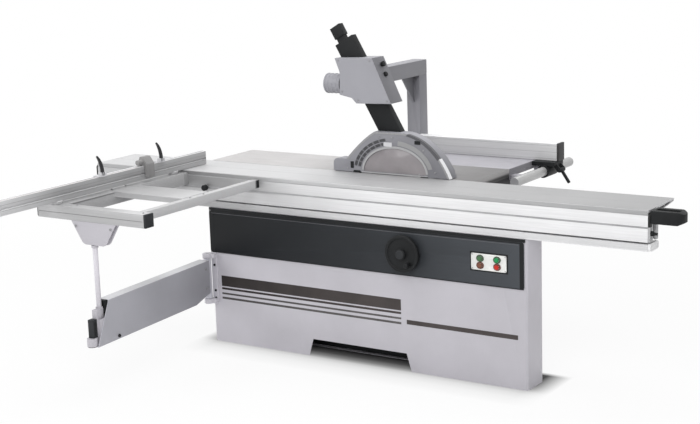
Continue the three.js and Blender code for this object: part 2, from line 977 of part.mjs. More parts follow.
// Rip extension table with the lugs that carry the guide bar
function ripExtensionTable() {
  const y0 = mainTableRearY + seatGap;
  const y1 = y0 + extensionDepth;
  const body = block(extensionOutfeedX, mainTableInfeedX, y0, y1, tableUnderZ, tableTopZ);
  const pocket = block(
    extensionOutfeedX + skirtWall, mainTableInfeedX - skirtWall, y0 + skirtWall, y1 - skirtWall,
    tableUnderZ - cutOver, skinUnderZ,
  );
  const lugs = [lugFirstY, lugSecondY].flatMap((y) => [
    block(
      mainTableInfeedX - skirtWall, barX - barRadius - seatGap * 2, y - lugWidth / 2, y + lugWidth / 2,
      barZ - lugHeight / 2, barZ + lugHeight / 2,
    ),
    block(
      mainTableInfeedX - skirtWall, mainTableInfeedX - edgeChamfer / 2, y - lugWidth / 2, y + lugWidth / 2,
      barZ - lugHeight / 2, tableUnderZ + cutOver,
    ),
  ]);
  return join(cut(body, pocket), ...lugs);
}

function guideBar() {
  return rodY(barRadius, barX, barZ, barStartY, barStartY + barLength);
}

// A ring sector about the tilt axis, seen along X; angles are degrees from straight down
function arcBand(inner, outer, frontAngle, rearAngle) {
  const start = -Math.PI / 2 - THREE.MathUtils.degToRad(frontAngle);
  const end = -Math.PI / 2 + THREE.MathUtils.degToRad(rearAngle);
  const shape = new THREE.Shape();
  shape.absarc(bladeY, tableTopZ, outer, start, end);
  shape.absarc(bladeY, tableTopZ, inner, end, start, true);
  return shape;
}

// Trunnion frame under the main table: two curved bands, their webs and a tie bar
function trunnionFrame() {
  const outer = trunnionInner + trunnionBand;
  const rear = THREE.MathUtils.degToRad(trunnionRearAngle);
  const webY = bladeY + trunnionInner * Math.sin(rear);
  const webZ = tableTopZ - outer * Math.cos(rear);
  const bands = [trunnionOutfeedX, trunnionInfeedX].flatMap((x) => [
    alongX(
      arcBand(trunnionInner, outer, trunnionFrontAngle, trunnionRearAngle),
      x, x + trunnionPlate, arcSteps * 3,
    ),
    block(x, x + trunnionPlate, webY, webY + trunnionWeb, webZ, skinUnderZ - seatGap),
  ]);
  const front = THREE.MathUtils.degToRad(trunnionFrontAngle - trunnionTieInset);
  const middle = (trunnionInner + outer) / 2;
  const barY = bladeY - middle * Math.sin(front);
  const tieZ = tableTopZ - middle * Math.cos(front);
  const tie = rodX(
    trunnionBarRadius, barY, tieZ, trunnionOutfeedX, trunnionInfeedX + trunnionPlate, smallSides,
  );
  return join(...bands, tie);
}

// Tilt carriage: the plate that tilts in the trunnions, with a slot for the rising spindle
function tiltCarriage() {
  const y0 = tiltPlateY;
  const y1 = tiltPlateY + tiltPlateThickness;
  const reach = trunnionInner - runGap;
  const lowZ = tableTopZ - Math.sqrt(reach ** 2 - (y1 - bladeY) ** 2) + runGap;
  const plate = block(
    trunnionOutfeedX + trunnionPlate + runGap, trunnionInfeedX - runGap,
    y0, y1, tiltPlateBottomZ, tiltPlateTopZ,
  );
  const wings = block(trunnionOutfeedX, trunnionInfeedX + trunnionPlate, y0, y1, lowZ, tiltPlateTopZ);
  const ear = block(
    scoringX - scoringEarHalfWidth, scoringX + scoringEarHalfWidth,
    y0, y1, tiltPlateTopZ - cutOver, scoringEarTopZ,
  );
  const shoes = [trunnionOutfeedX, trunnionInfeedX].map((x) =>
    alongX(
      arcBand(reach - shoeBand, reach, shoeFrontAngle, shoeRearAngle), x, x + trunnionPlate, arcSteps * 2,
    ),
  );
  const slot = block(
    -tiltSlotHalfWidth, tiltSlotHalfWidth, y0 - cutOver,
    y1 + cutOver, tiltSlotBottomZ, scoringEarTopZ + cutOver,
  );
  const scoringZ = tableTopZ + scoringProud - scoringRadius;
  const scoringHole = rodY(
    scoringShaftRadius + seatGap, scoringX, scoringZ, y0 - cutOver, y1 + cutOver, smallSides,
  );
  return cut(join(plate, wings, ear, ...shoes), slot, scoringHole);
}

// Arbor carrier: the block that rises and falls, with the knife arm and the motor plate
function arborCarrier() {
  const plateBack = tiltPlateY + tiltPlateThickness;
  const blockFront = plateBack + seatGap;
  const blockBack = blockFront + carrierDepth;
  const noseFront = tiltPlateY - knifeArmDepth - runGap;
  const body = block(
    -carrierHalfWidth, carrierHalfWidth, blockFront, blockBack,
    spindleZ - carrierHalfHeight, spindleZ + carrierHalfHeight,
  );
  const nose = rodY(noseRadius, 0, spindleZ, noseFront, blockFront + cutOver);
  const armBack = tiltPlateY - runGap;
  const arm = block(
    -knifeArmLength, 0, noseFront, armBack, spindleZ - knifeArmHalfHeight, spindleZ + knifeArmHalfHeight,
  );
  const knifeBack = bladeY + knifeThickness / 2 + seatGap;
  const knifeSeat = block(
    -knifeArmLength, -knifeArmLength + knifeWidth, knifeBack, noseFront + runGap,
    spindleZ - knifeArmHalfHeight, spindleZ + knifeArmHalfHeight,
  );
  const motorPlateY = motorPlateFront();
  const plate = block(
    motorX - motorRadius, carrierHalfWidth, motorPlateY, motorPlateY + motorPlate,
    motorZ - motorRadius, spindleZ + carrierHalfHeight,
  );
  const bridge = block(
    carrierHalfWidth - motorPlate, carrierHalfWidth, blockBack - cutOver, motorPlateY + cutOver / 2,
    spindleZ - carrierHalfHeight, spindleZ + carrierHalfHeight,
  );
  const bore = rodY(spindleRadius + seatGap, 0, spindleZ, noseFront - cutOver, blockBack + cutOver);
  const motorHole = rodY(
    motorHoleRadius, motorX, motorZ, motorPlateY - cutOver, motorPlateY + motorPlate + cutOver,
  );
  return cut(join(body, nose, arm, knifeSeat, plate, bridge), bore, motorHole);
}

function beltFront() {
  return tiltPlateY + tiltPlateThickness + seatGap + carrierDepth + runGap * 3;
}

function motorPlateFront() {
  return beltFront() + pulleyWidth + runGap * 3;
}

// Saw spindle: inner flange, shaft, nut end and pulley, turned as one piece
function sawSpindle() {
  const innerFace = bladeY + bladeThickness / 2 + seatGap;
  const outerFace = bladeY - bladeThickness / 2 - seatGap;
  const seat = bladeBoreRadius - seatGap * 2;
  const pulleyFront = beltFront();
  return turnedY(
    [
      [0, outerFace - nutLength],
      [nutRadius * 0.7, outerFace - nutLength],
      [nutRadius, outerFace - nutLength / 2],
      [nutRadius, outerFace],
      [seat, outerFace],
      [seat, innerFace],
      [flangeRadius, innerFace],
      [flangeRadius, innerFace + flangeThickness / 2],
      [spindleRadius, innerFace + flangeThickness],
      [spindleRadius, pulleyFront],
      [spindlePulleyRadius, pulleyFront],
      [spindlePulleyRadius, pulleyFront + pulleyWidth],
      [0, pulleyFront + pulleyWidth],
    ],
    0, spindleZ,
  );
}

// A toothed disc: each tooth is a raking rise and a straight fall
function toothedDisc(radius, teeth, thickness, bore, x, z) {
  const shape = new THREE.Shape();
  const root = radius - toothDepth;
  for (let i = 0; i < teeth; i += 1) {
    const start = (i / teeth) * Math.PI * 2;
    const step = (Math.PI * 2) / teeth;
    const place = i === 0 ? 'moveTo' : 'lineTo';
    shape[place](root * Math.cos(start), root * Math.sin(start));
    shape.lineTo(radius * Math.cos(start + step * 0.6), radius * Math.sin(start + step * 0.6));
    shape.lineTo(radius * Math.cos(start + step * 0.8), radius * Math.sin(start + step * 0.8));
  }
  const opening = new THREE.Path();
  opening.absarc(0, 0, bore, 0, Math.PI * 2, true);
  shape.holes = [opening];
  return alongY(shape, bladeY - thickness / 2, bladeY + thickness / 2, arcSteps * 2).translate(x, 0, z);
}

function sawBlade() {
  return toothedDisc(bladeRadius, bladeTeeth, bladeThickness, bladeBoreRadius, 0, spindleZ);
}

// Riving knife: a curved blade of sheet that follows the saw blade closely
function rivingKnife() {
  const inner = bladeRadius + knifeGap;
  const outer = inner + knifeWidth;
  const low = Math.PI + Math.asin(knifeArmHalfHeight / inner);
  const high = Math.PI - Math.asin((bladeRadius - knifeTopDrop) / outer);
  const shape = new THREE.Shape();
  shape.absarc(0, 0, inner, high, low);
  shape.absarc(0, 0, outer, low, high, true);
  return alongY(shape, bladeY - knifeThickness / 2, bladeY + knifeThickness / 2, arcSteps * 3).translate(
    0, 0, spindleZ,
  );
}

// Scoring blade on its own spindle, turned as one piece
function scoringBlade() {
  const z = tableTopZ + scoringProud - scoringRadius;
  const front = bladeY - scoringThickness / 2;
  const back = bladeY + scoringThickness / 2;
  const end = front - flangeThickness;
  const pulleyFront = tiltPlateY + tiltPlateThickness + runGap * 3;
  return turnedY(
    [
      [0, end],
      [scoringPulleyRadius, end],
      [scoringPulleyRadius, front],
      [scoringRadius, front],
      [scoringRadius, back],
      [scoringPulleyRadius, back],
      [scoringShaftRadius, back + flangeThickness],
      [scoringShaftRadius, pulleyFront],
      [scoringPulleyRadius, pulleyFront],
      [scoringPulleyRadius, end + scoringShaftLength],
      [0, end + scoringShaftLength],
    ],
    scoringX, z,
  );
}

// Motor with a shallow socket for its shaft and cooling ribs round its length
function motor() {
  const front = motorPlateFront() + motorPlate + seatGap;
  const rib = motorRadius - sheet;
  const ribs = 3;
  const profile = [[motorShaftRadius + runGap, front]];
  const pitch = motorLength / ribs;
  for (let i = 0; i < ribs; i += 1) {
    const y = front + i * pitch;
    profile.push([motorRadius, y], [motorRadius, y + pitch / 2], [rib, y + pitch / 2], [rib, y + pitch]);
  }
  profile.push([0, front + motorLength], [0, front + motorLength / 4]);
  profile.push([motorShaftRadius + runGap, front + motorLength / 4]);
  profile.push([motorShaftRadius + runGap, front]);
  return turnedY(profile, motorX, motorZ);
}

function motorPulley() {
  const front = beltFront();
  const back = front + pulleyWidth;
  const shaftEnd = motorPlateFront() + motorPlate + motorLength / 5;
  return turnedY(
    [
      [0, front],
      [motorPulleyRadius, front],
      [motorPulleyRadius, back],
      [motorShaftRadius, back],
      [motorShaftRadius, shaftEnd],
      [0, shaftEnd],
    ],
    motorX, motorZ,
  );
}

// The closed line round two pulleys, at a distance outside them
function beltLoop(extra) {
  const near = spindlePulleyRadius + extra;
  const far = motorPulleyRadius + extra;
  const across = Math.hypot(motorX, spindleZ - motorZ);
  const heading = Math.atan2(motorZ - spindleZ, motorX);
  const spread = Math.acos((near - far) / across);
  const loop = new THREE.Shape();
  loop.absarc(0, spindleZ, near, heading + spread, heading - spread + Math.PI * 2);
  loop.absarc(motorX, motorZ, far, heading - spread, heading + spread);
  loop.closePath();
  return loop;
}

function driveBelt() {
  const shape = beltLoop(beltGap + beltThickness);
  shape.holes = [new THREE.Path(beltLoop(beltGap).getPoints(arcSteps * 2).reverse())];
  const front = beltFront();
  return alongY(shape, front + runGap, front + pulleyWidth - runGap, arcSteps * 2);
}

// Swinging support arm: the bracket with its pin stands on the housing's front
function hingeBracket() {
  const plateFront = frontY - seatGap - hingePlate;
  const plate = block(
    leftX + edgeChamfer, leftX + edgeChamfer + hingePlateWidth, plateFront, frontY - seatGap,
    beamBottomZ - lugThickness - cutOver, panelBottomZ - runGap,
  );
  const lugs = [
    [beamTopZ + cutOver, beamTopZ + cutOver + lugThickness],
    [beamBottomZ - cutOver - lugThickness, beamBottomZ - cutOver],
  ].flatMap(([z0, z1]) => [
    block(
      swingX - lugReach / 2, leftX + edgeChamfer + hingePlateWidth,
      swingY, plateFront + cutOver / 2, z0, z1,
    ),
    rodZ(lugReach, swingX, swingY, z0, z1, smallSides),
  ]);
  const pin = rodZ(
    pinRadius, swingX, swingY, beamBottomZ - cutOver - lugThickness / 2,
    beamTopZ + cutOver + lugThickness / 2, smallSides,
  );
  return join(plate, ...lugs, pin);
}

// The arm is drawn along its own X axis from the hinge and then swung to its rest direction
const arm = new THREE.Group();
arm.position.set(swingX, swingY, 0);
arm.rotation.z = -Math.PI / 2 + swing;
saw.add(arm);

// Side view of a beam or of the room in it, with the long chamfer under the hinge end
function chamferedSide(start, end, bottomZ, topZ) {
  return outline([
    [start, bottomZ + beamChamferHeight],
    [beamStart + beamChamferLength, bottomZ],
    [end, bottomZ],
    [end, topZ],
    [start, topZ],
  ]);
}

function supportBeam() {
  const barrel = rodZ(barrelRadius, 0, 0, beamBottomZ - cutOver / 2, beamTopZ + cutOver / 2);
  const side = outline([
    [beamStart, beamBottomZ + beamChamferHeight],
    [beamStart + beamChamferLength, beamBottomZ],
    [beamBottomLength, beamBottomZ],
    [beamTopLength, beamTopZ],
    [beamStart, beamTopZ],
  ]);
  const body = alongY(side, -beamWidth / 2, beamWidth / 2);
  const room = alongY(
    chamferedSide(beamRoomStart, beamBottomLength + cutOver, beamBottomZ + beamWall, beamTopZ - beamWall),
    -beamWidth / 2 + beamWall,
    beamWidth / 2 - beamWall,
  );
  const neck = block(
    0, beamStart + beamWall / 2, -beamWall * 2, beamWall * 2, beamBottomZ + beamChamferHeight, beamTopZ,
  );
  const bore = rodZ(pinRadius + runGap, 0, 0, beamBottomZ - cutOver, beamTopZ + cutOver, smallSides);
  return cut(join(barrel, cut(body, room), neck), bore);
}

// Telescoping inner beam with its tongue, foot and strut seat
function telescopeBeam() {
  const halfWidth = beamWidth / 2 - beamWall - innerGap;
  const z0 = beamBottomZ + beamWall + innerGap;
  const z1 = beamTopZ - beamWall - innerGap;
  const x1 = innerStart + innerLength;
  const tube = alongY(chamferedSide(innerStart, x1, z0, z1), -halfWidth, halfWidth);
  const room = alongY(
    chamferedSide(innerStart - cutOver, x1 - beamWall, z0 + beamWall, z1 - beamWall),
    -halfWidth + beamWall,
    halfWidth - beamWall,
  );
  const topTrim = alongY(
    outline([
      [beamTopLength - beamWidth, z1 + cutOver],
      [x1 + cutOver, z1 + cutOver],
      [x1 + cutOver, tongueZ + tongueHeight / 2],
      [beamTopLength, tongueZ + tongueHeight / 2],
    ]),
    -beamWidth,
    beamWidth,
  );
  const tongue = block(
    x1 - beamWall - tongueLength / 2, x1 + tongueLength, -tongueWidth / 2, tongueWidth / 2,
    tongueZ - tongueHeight / 2, tongueZ + tongueHeight / 2,
  );
  const tongueUnderZ = tongueZ - tongueHeight / 2;
  const foot = rodZ(
    footRadius, x1 + tongueLength, 0, tongueUnderZ - footHeight, tongueUnderZ + footSeat - seatGap,
  );
  const seat = block(
    strutAlong - strutRadius * 2, x1 + strutSeatReach, -strutSeatWidth / 2, strutSeatWidth / 2,
    tongueZ, strutSeatZ,
  );
  return join(cut(tube, room, topTrim), tongue, foot, seat);
}

// Black block that closes the end of the inner beam: a cap over the tongue, open below
function endBlock() {
  const x0 = innerStart + innerLength + tongueLength - endBlockLength;
  const x1 = innerStart + innerLength + tongueLength;
  const z0 = tongueZ - tongueHeight / 2 + footSeat;
  const z1 = tongueZ + tongueHeight / 2;
  const half = tongueWidth / 2 + seatGap;
  const outer = half + endBlockWall;
  const shell = block(x0, x1 + endBlockWall, -outer, outer, z0, z1 + endBlockWall);
  const room = block(x0 - cutOver, x1 + seatGap, -half, half, z0 - cutOver, z1 + seatGap);
  return cut(shell, room);
}

function supportStrut() {
  return rodZ(strutRadius, strutAlong, 0, strutSeatZ + seatGap, strutTopZ, smallSides);
}

// The broad bar under the crosscut fence and the slim bar on the infeed side
function sideBars() {
  const left = {
    x0: leftBarX - leftBarWidth / 2,
    x1: leftBarX + leftBarWidth / 2,
    z0: outriggerUnderZ,
    z1: outriggerTopZ,
  };
  const rightTopZ = outriggerTopZ - rightBarDrop;
  const right = {
    x0: rightBarX - rightBarWidth / 2,
    x1: rightBarX + rightBarWidth / 2,
    z0: rightTopZ - rightBarHeight,
    z1: rightTopZ,
  };
  return [left, right];
}

// Outrigger frame: hollow bars welded into one frame, open at their ends
function outriggerFrame() {
  const z0 = outriggerUnderZ;
  const z1 = outriggerTopZ;
  const backEnd = frontY - clampBlockDepth - seatGap;
  const frontBarBack = outriggerFrontY + frontBarDepth;
  const frontBar = block(frontBarOutfeedX, frontBarInfeedX, outriggerFrontY, frontBarBack, z0, z1);
  const frontRoom = block(
    frontBarOutfeedX - cutOver, frontBarInfeedX + cutOver,
    outriggerFrontY + outriggerWall, frontBarBack - outriggerWall,
    z0 + outriggerWall, z1 - outriggerWall,
  );
  const bars = sideBars().map((bar) =>
    block(bar.x0, bar.x1, frontBarBack - outriggerWall / 2, backEnd, bar.z0, bar.z1),
  );
  const barRooms = sideBars().map((bar) =>
    block(
      bar.x0 + outriggerWall, bar.x1 - outriggerWall, frontBarBack, backEnd + cutOver,
      bar.z0 + outriggerWall, bar.z1 - outriggerWall,
    ),
  );
  const rung = block(
    leftBarX + leftBarWidth / 2 - outriggerWall / 2, rightBarX - rightBarWidth / 2 + outriggerWall / 2,
    rungFrontY, rungFrontY + rungDepth, z1 - rungHeight, z1,
  );
  return join(cut(join(frontBar, ...bars), frontRoom, ...barRooms), rung);
}

// Clamp between a side bar's end and the sliding table's edge
function clampBlock(bar) {
  return block(bar.x0, bar.x1, frontY - clampBlockDepth, frontY - seatGap, bar.z0, bar.z1);
}

function outriggerCap() {
  return block(
    frontBarInfeedX + seatGap, frontBarInfeedX + outriggerCapThickness, outriggerFrontY,
    outriggerFrontY + frontBarDepth, outriggerUnderZ, outriggerTopZ,
  );
}

// Trapezoid bracket with round lower corners: two plates and a top, open below for the strut
function strutBracket() {
  const top = outriggerUnderZ - seatGap;
  const bottom = top - bracketHeight;
  const slope = (bracketTopWidth - bracketBottomWidth) / 2 / bracketHeight;
  const low = bracketBottomWidth / 2;
  const sideStep = bracketRound * slope;
  const shape = new THREE.Shape();
  shape.moveTo(bracketX - bracketTopWidth / 2, top);
  shape.lineTo(bracketX - low - sideStep, bottom + bracketRound);
  shape.quadraticCurveTo(bracketX - low, bottom, bracketX - low + bracketRound, bottom);
  shape.lineTo(bracketX + low - bracketRound, bottom);
  shape.quadraticCurveTo(bracketX + low, bottom, bracketX + low + sideStep, bottom + bracketRound);
  shape.lineTo(bracketX + bracketTopWidth / 2, top);
  const body = alongY(shape, outriggerFrontY, outriggerFrontY + bracketDepth);
  const room = block(
    bracketX - bracketTopWidth, bracketX + bracketTopWidth, outriggerFrontY + bracketPlate,
    outriggerFrontY + bracketDepth - bracketPlate, bottom - cutOver, top - bracketPlate,
  );
  return cut(body, room);
}

// Clamp knob on the sliding table's front, with its stud
function frameClampKnob() {
  const face = frontY - seatGap;
  const front = face - frameKnobLength;
  return turnedY(
    [
      [0, front],
      [frameKnobRadius * 0.85, front],
      [frameKnobRadius, front + edgeChamfer],
      [frameKnobRadius, face - frameKnobLength / 3],
      [frameKnobRadius / 2, face - frameKnobLength / 4],
      [frameKnobRadius / 2, face],
      [0, face],
    ],
    frameKnobX, frameKnobZ, smallSides,
  );
}

// Crosscut fence: an extrusion with a top slot and a side groove, on two pads
function crosscutFence() {
  const x0 = crossFenceX - crossFenceWidth / 2;
  const x1 = crossFenceX + crossFenceWidth / 2;
  const z0 = outriggerTopZ + crossFenceLift;
  const z1 = z0 + crossFenceHeight;
  const middleZ = z0 + crossFenceHeight * 0.45;
  const shape = outline([
    [x0, z0],
    [x1, z0],
    [x1, middleZ - crossGroove / 2],
    [x1 - crossGrooveDepth, middleZ - crossGroove / 2],
    [x1 - crossGrooveDepth, middleZ + crossGroove / 2],
    [x1, middleZ + crossGroove / 2],
    [x1, z1],
    [crossFenceX + crossGroove / 2, z1],
    [crossFenceX + crossGroove / 2, z1 - crossGrooveDepth],
    [crossFenceX - crossGroove / 2, z1 - crossGrooveDepth],
    [crossFenceX - crossGroove / 2, z1],
    [x0, z1],
  ]);
  shape.holes = [
    hole([
      [x0 + fenceWall, z0 + fenceWall],
      [x0 + fenceWall, z1 - crossGrooveDepth - fenceWall],
      [x1 - crossGrooveDepth - fenceWall, z1 - crossGrooveDepth - fenceWall],
      [x1 - crossGrooveDepth - fenceWall, z0 + fenceWall],
    ]),
  ];
  const bar = alongY(shape, crossFenceFarY - crossFenceLength, crossFenceFarY);
  const pads = [mitreY, outerPadY].map((y) =>
    rodZ(fencePadRadius, crossFenceX, y, outriggerTopZ + seatGap, z0 + fenceWall / 2, smallSides),
  );
  return join(bar, ...pads);
}

// Fence clamp: a saddle over the fence, with its screw
function fenceClamp() {
  const top = crossFenceTop();
  const x0 = crossFenceX - crossFenceWidth / 2 - seatGap;
  const x1 = crossFenceX + crossFenceWidth / 2 + seatGap;
  const roof = top + seatGap;
  const shape = outline([
    [x0 - fenceClampWall, top - crossFenceHeight * 0.3],
    [x0, top - crossFenceHeight * 0.3],
    [x0, roof],
    [x1, roof],
    [x1, top - crossFenceHeight + fenceClampDrop],
    [x1 + fenceClampWall * 2, top - crossFenceHeight + fenceClampDrop],
    [x1 + fenceClampWall * 2, roof + fenceClampWall],
    [x1 - fenceClampWall, roof + fenceClampRise],
    [x0 + fenceClampWall, roof + fenceClampRise],
    [x0 - fenceClampWall, roof + fenceClampWall],
  ]);
  const saddle = alongY(shape, fenceClampY - fenceClampLength / 2, fenceClampY + fenceClampLength / 2);
  const screwZ = roof + fenceClampWall * 2;
  const screwBack = fenceClampY - fenceClampLength / 2 + seatGap;
  return join(
    saddle,
    rodY(clampScrewRadius, crossFenceX, screwZ, screwBack - clampScrewLength, screwBack, smallSides),
  );
}

function crossFenceTop() {
  return outriggerTopZ + crossFenceLift + crossFenceHeight;
}

// Stop carrier: a slider on the fence with two ears for the hook's pin
function stopCarrier(y) {
  const top = crossFenceTop();
  const x0 = crossFenceX - crossFenceWidth / 2 - seatGap;
  const hinge = stopHinge();
  const base = block(
    x0, hinge.x + stopEarWall, y - stopLength / 2, y + stopLength / 2,
    top + seatGap, top + seatGap + stopHeight / 2,
  );
  const key = block(
    crossFenceX - crossGroove / 2 + seatGap, crossFenceX + crossGroove / 2 - seatGap,
    y - stopLength / 2, y + stopLength / 2, top - crossGrooveDepth + seatGap * 2, top + stopHeight / 2,
  );
  const earInner = hookWidth / 2 + runGap;
  const ears = [-1, 1].map((side) => {
    const near = y + side * earInner;
    const far = y + (side * stopLength) / 2;
    return block(
      hinge.x - stopEarWall * 1.5, hinge.x + stopEarWall, Math.min(near, far), Math.max(near, far),
      top + stopHeight / 2, top + stopEarHeight,
    );
  });
  const pin = rodY(stopPinRadius(), hinge.x, hinge.z, y - stopLength / 2, y + stopLength / 2, smallSides);
  return join(base, key, ...ears, pin);
}

function stopHinge() {
  return { x: crossFenceX + crossFenceWidth / 2 + stopHingeOut, z: crossFenceTop() + stopHingeRise };
}

function stopPinRadius() {
  return hookThickness / 4;
}

// Stop hook: an upright finger that curves towards its tip, bored for the pin
function stopHook(y) {
  const hinge = stopHinge();
  const eye = rodY(
    hookThickness / 2 + runGap, hinge.x, hinge.z, y - hookWidth / 2, y + hookWidth / 2, smallSides,
  );
  const half = hookWidth / 2;
  const profile = new THREE.Shape();
  profile.moveTo(y - half, hinge.z);
  profile.lineTo(y + half, hinge.z);
  profile.quadraticCurveTo(y + half, hinge.z + hookHeight * 0.6, y - hookLean, hinge.z + hookHeight);
  profile.lineTo(y - hookLean - half / 2, hinge.z + hookHeight - half / 2);
  profile.quadraticCurveTo(y - half, hinge.z + hookHeight * 0.5, y - half, hinge.z);
  const finger = alongX(profile, hinge.x - hookThickness / 2, hinge.x + hookThickness / 2, arcSteps);
  const bore = rodY(stopPinRadius() + seatGap, hinge.x, hinge.z, y - hookWidth, y + hookWidth, smallSides);
  return cut(join(eye, finger), bore);
}

// Rip fence carrier: a sleeve on the guide bar and a plate below the fence
function ripCarrier() {
  const y0 = carrierStartY;
  const y1 = carrierStartY + carrierLength;
  const outer = barRadius + sleeveWall;
  const sleeve = rodY(outer, barX, barZ, y0, y1);
  const plate = block(
    carrierOutfeedX, carrierInfeedX, y0 + sleeveWall,
    y1 - sleeveWall, carrierTopZ - carrierPlate, carrierTopZ,
  );
  const bore = rodY(barRadius + runGap, barX, barZ, y0 - cutOver, y1 + cutOver);
  const slot = block(
    barX - outer - cutOver, barX, y0 - cutOver, y1 + cutOver,
    barZ - carrierSlotHeight / 2, barZ + carrierSlotHeight / 2,
  );
  return join(cut(join(sleeve, plate), bore, slot), ...leverEars());
}

// Two ears with the pin that the clamp lever turns on
function leverEars() {
  const middleY = carrierStartY + carrierLength / 2;
  const inner = ripLeverHubLength / 2 + runGap / 2;
  const shape = outline([
    [carrierInfeedX - ripLeverHubRadius * 2, carrierTopZ - carrierPlate / 2],
    [ripLeverX - ripLeverHubRadius * 0.6, ripLeverZ - ripLeverHubRadius * 0.8],
    [ripLeverX + ripLeverHubRadius * 0.4, ripLeverZ - ripLeverHubRadius * 0.9],
    [ripLeverX + ripLeverHubRadius * 0.9, ripLeverZ],
    [ripLeverX + ripLeverHubRadius * 0.5, ripLeverZ + ripLeverHubRadius * 0.9],
    [carrierInfeedX, carrierTopZ - carrierPlate / 2],
  ]);
  const ears = [
    alongY(shape, middleY - inner - ripEarThickness, middleY - inner),
    alongY(shape, middleY + inner, middleY + inner + ripEarThickness),
  ];
  const pin = rodY(
    ripPinRadius, ripLeverX, ripLeverZ, middleY - inner - seatGap, middleY + inner + seatGap, smallSides,
  );
  return [...ears, pin];
}

// Rip fence: a hollow extrusion that rests on the carrier
function ripFence() {
  const z0 = tableTopZ + ripFenceLift;
  const z1 = z0 + ripFenceHeight;
  const y0 = ripFaceY;
  const y1 = ripFaceY + ripFenceWidth;
  const slotZ = z0 + ripFenceHeight / 2;
  const shape = outline([
    [y0, z0],
    [y1, z0],
    [y1, slotZ - fenceSlot / 2],
    [y1 - fenceSlot, slotZ - fenceSlot / 2],
    [y1 - fenceSlot, slotZ + fenceSlot / 2],
    [y1, slotZ + fenceSlot / 2],
    [y1, z1],
    [y0, z1],
  ]);
  const inner = y1 - fenceSlot - fenceWall;
  shape.holes = [
    hole([
      [y0 + fenceWall, z0 + fenceWall],
      [y0 + fenceWall, slotZ - fenceWall / 2],
      [inner, slotZ - fenceWall / 2],
      [inner, z0 + fenceWall],
    ]),
    hole([
      [y0 + fenceWall, slotZ + fenceWall / 2],
      [y0 + fenceWall, z1 - fenceWall],
      [inner, z1 - fenceWall],
      [inner, slotZ + fenceWall / 2],
    ]),
  ];
  return alongX(shape, ripFenceInfeedX - ripFenceLength, ripFenceInfeedX);
}

function ripFenceCap() {
  const z0 = tableTopZ + ripFenceLift;
  const shape = roundedRectangle(
    ripFaceY - ripCapProud, ripFaceY + ripFenceWidth + ripCapProud,
    z0, z0 + ripFenceHeight + ripCapProud, ripCapProud,
  );
  return alongX(shape, ripFenceInfeedX + seatGap, ripFenceInfeedX + seatGap + ripCapThickness);
}

// Clamp lever of the rip fence: a hub on the carrier's end and a slanting arm
function ripLever() {
  const y0 = carrierStartY + carrierLength / 2 - ripLeverHubLength / 2;
  const hub = rodY(ripLeverHubRadius, ripLeverX, ripLeverZ, y0, y0 + ripLeverHubLength, smallSides);
  const lever = alongY(
    roundedRectangle(0, ripLeverLength, -ripLeverWidth / 2, ripLeverWidth / 2, ripLeverWidth / 3),
    -ripLeverWidth / 2,
    ripLeverWidth / 2,
  );
  lever.rotateY(-THREE.MathUtils.degToRad(ripLeverAngle)).translate(
    ripLeverX, y0 + ripLeverHubLength / 2, ripLeverZ,
  );
  const bore = rodY(
    ripPinRadius + seatGap, ripLeverX, ripLeverZ, y0 - cutOver,
    y0 + ripLeverHubLength + cutOver, smallSides,
  );
  return cut(join(hub, lever), bore);
}

// Overarm: the post stands on a beam from the cabinet's back, with a gusset under the arm
function overarmPost() {
  const half = armSize / 2;
  const top = armBottomZ - seatGap;
  const post = block(armX - half, armX + half, postY - half, postY + half, postFootZ, top);
  const postRoom = block(
    armX - half + armWall, armX + half - armWall, postY - half + armWall, postY + half - armWall,
    postFootZ + armWall, top + cutOver,
  );
  const beam = block(
    armX - half, armX + half, backY + seatGap, postY, postFootZ, postFootZ + postBeamHeight,
  );
  const gusset = alongX(
    outline([
      [postY - half - gussetReach, top],
      [postY - half + armWall / 2, top - gussetDrop],
      [postY - half + armWall / 2, top],
    ]),
    armX - gussetPlate / 2,
    armX + gussetPlate / 2,
  );
  return join(cut(post, postRoom), beam, gusset);
}

// Overarm tube: square tube from the guard housing to the post, with its flange
function overarmTube() {
  const half = armSize / 2;
  const y0 = housingPlateY + housingBoxDepth + seatGap;
  const y1 = postY + half;
  const tube = block(armX - half, armX + half, y0, y1, armBottomZ, armBottomZ + armSize);
  const room = block(
    armX - half + armWall, armX + half - armWall, y0 + flangePlate, y1 + cutOver,
    armBottomZ + armWall, armBottomZ + armSize - armWall,
  );
  const flange = block(
    armX - half, armX + half + flangeReach, y0, y0 + flangePlate, armBottomZ, armBottomZ + armSize,
  );
  return cut(join(tube, flange), room);
}

// Moves every side of a counter-clockwise outline inwards by the same distance
function insetCorners(corners, inset) {
  const count = corners.length;
  const inwards = (from, to) => new THREE.Vector2(from[1] - to[1], to[0] - from[0]).normalize();
  return corners.map((corner, i) => {
    const before = inwards(corners[(i + count - 1) % count], corner);
    const after = inwards(corner, corners[(i + 1) % count]);
    const reach = inset / (1 + before.dot(after));
    return [corner[0] + (before.x + after.x) * reach, corner[1] + (before.y + after.y) * reach];
  });
}

// Guard housing: a sheet shell, open at the back, with the mast's way through and the hose port
function guardHousing() {
  const y0 = housingPlateY;
  const y1 = housingPlateY + housingBoxDepth;
  const shell = alongY(outline(housingCorners), y0, y1);
  const room = alongY(outline(insetCorners(housingCorners, sheet)), y0 + sheet, y1 + cutOver);
  const mastPass = mastBlock(mastWidth / 2 + mastGap, mastDepth / 2 + mastGap, 0, mastLength);
  const portY = housingPlateY + housingBoxDepth / 2;
  const port = rodX(hosePortRadius, portY, hosePortZ, hosePortRootX - hosePortLength, hosePortRootX);
  const bore = rodX(
    hosePortRadius - hosePortWall, portY, hosePortZ,
    hosePortRootX - hosePortLength - cutOver, hosePortRootX + hosePortRadius,
  );
  return cut(join(cut(shell, room, mastPass), port), bore);
}

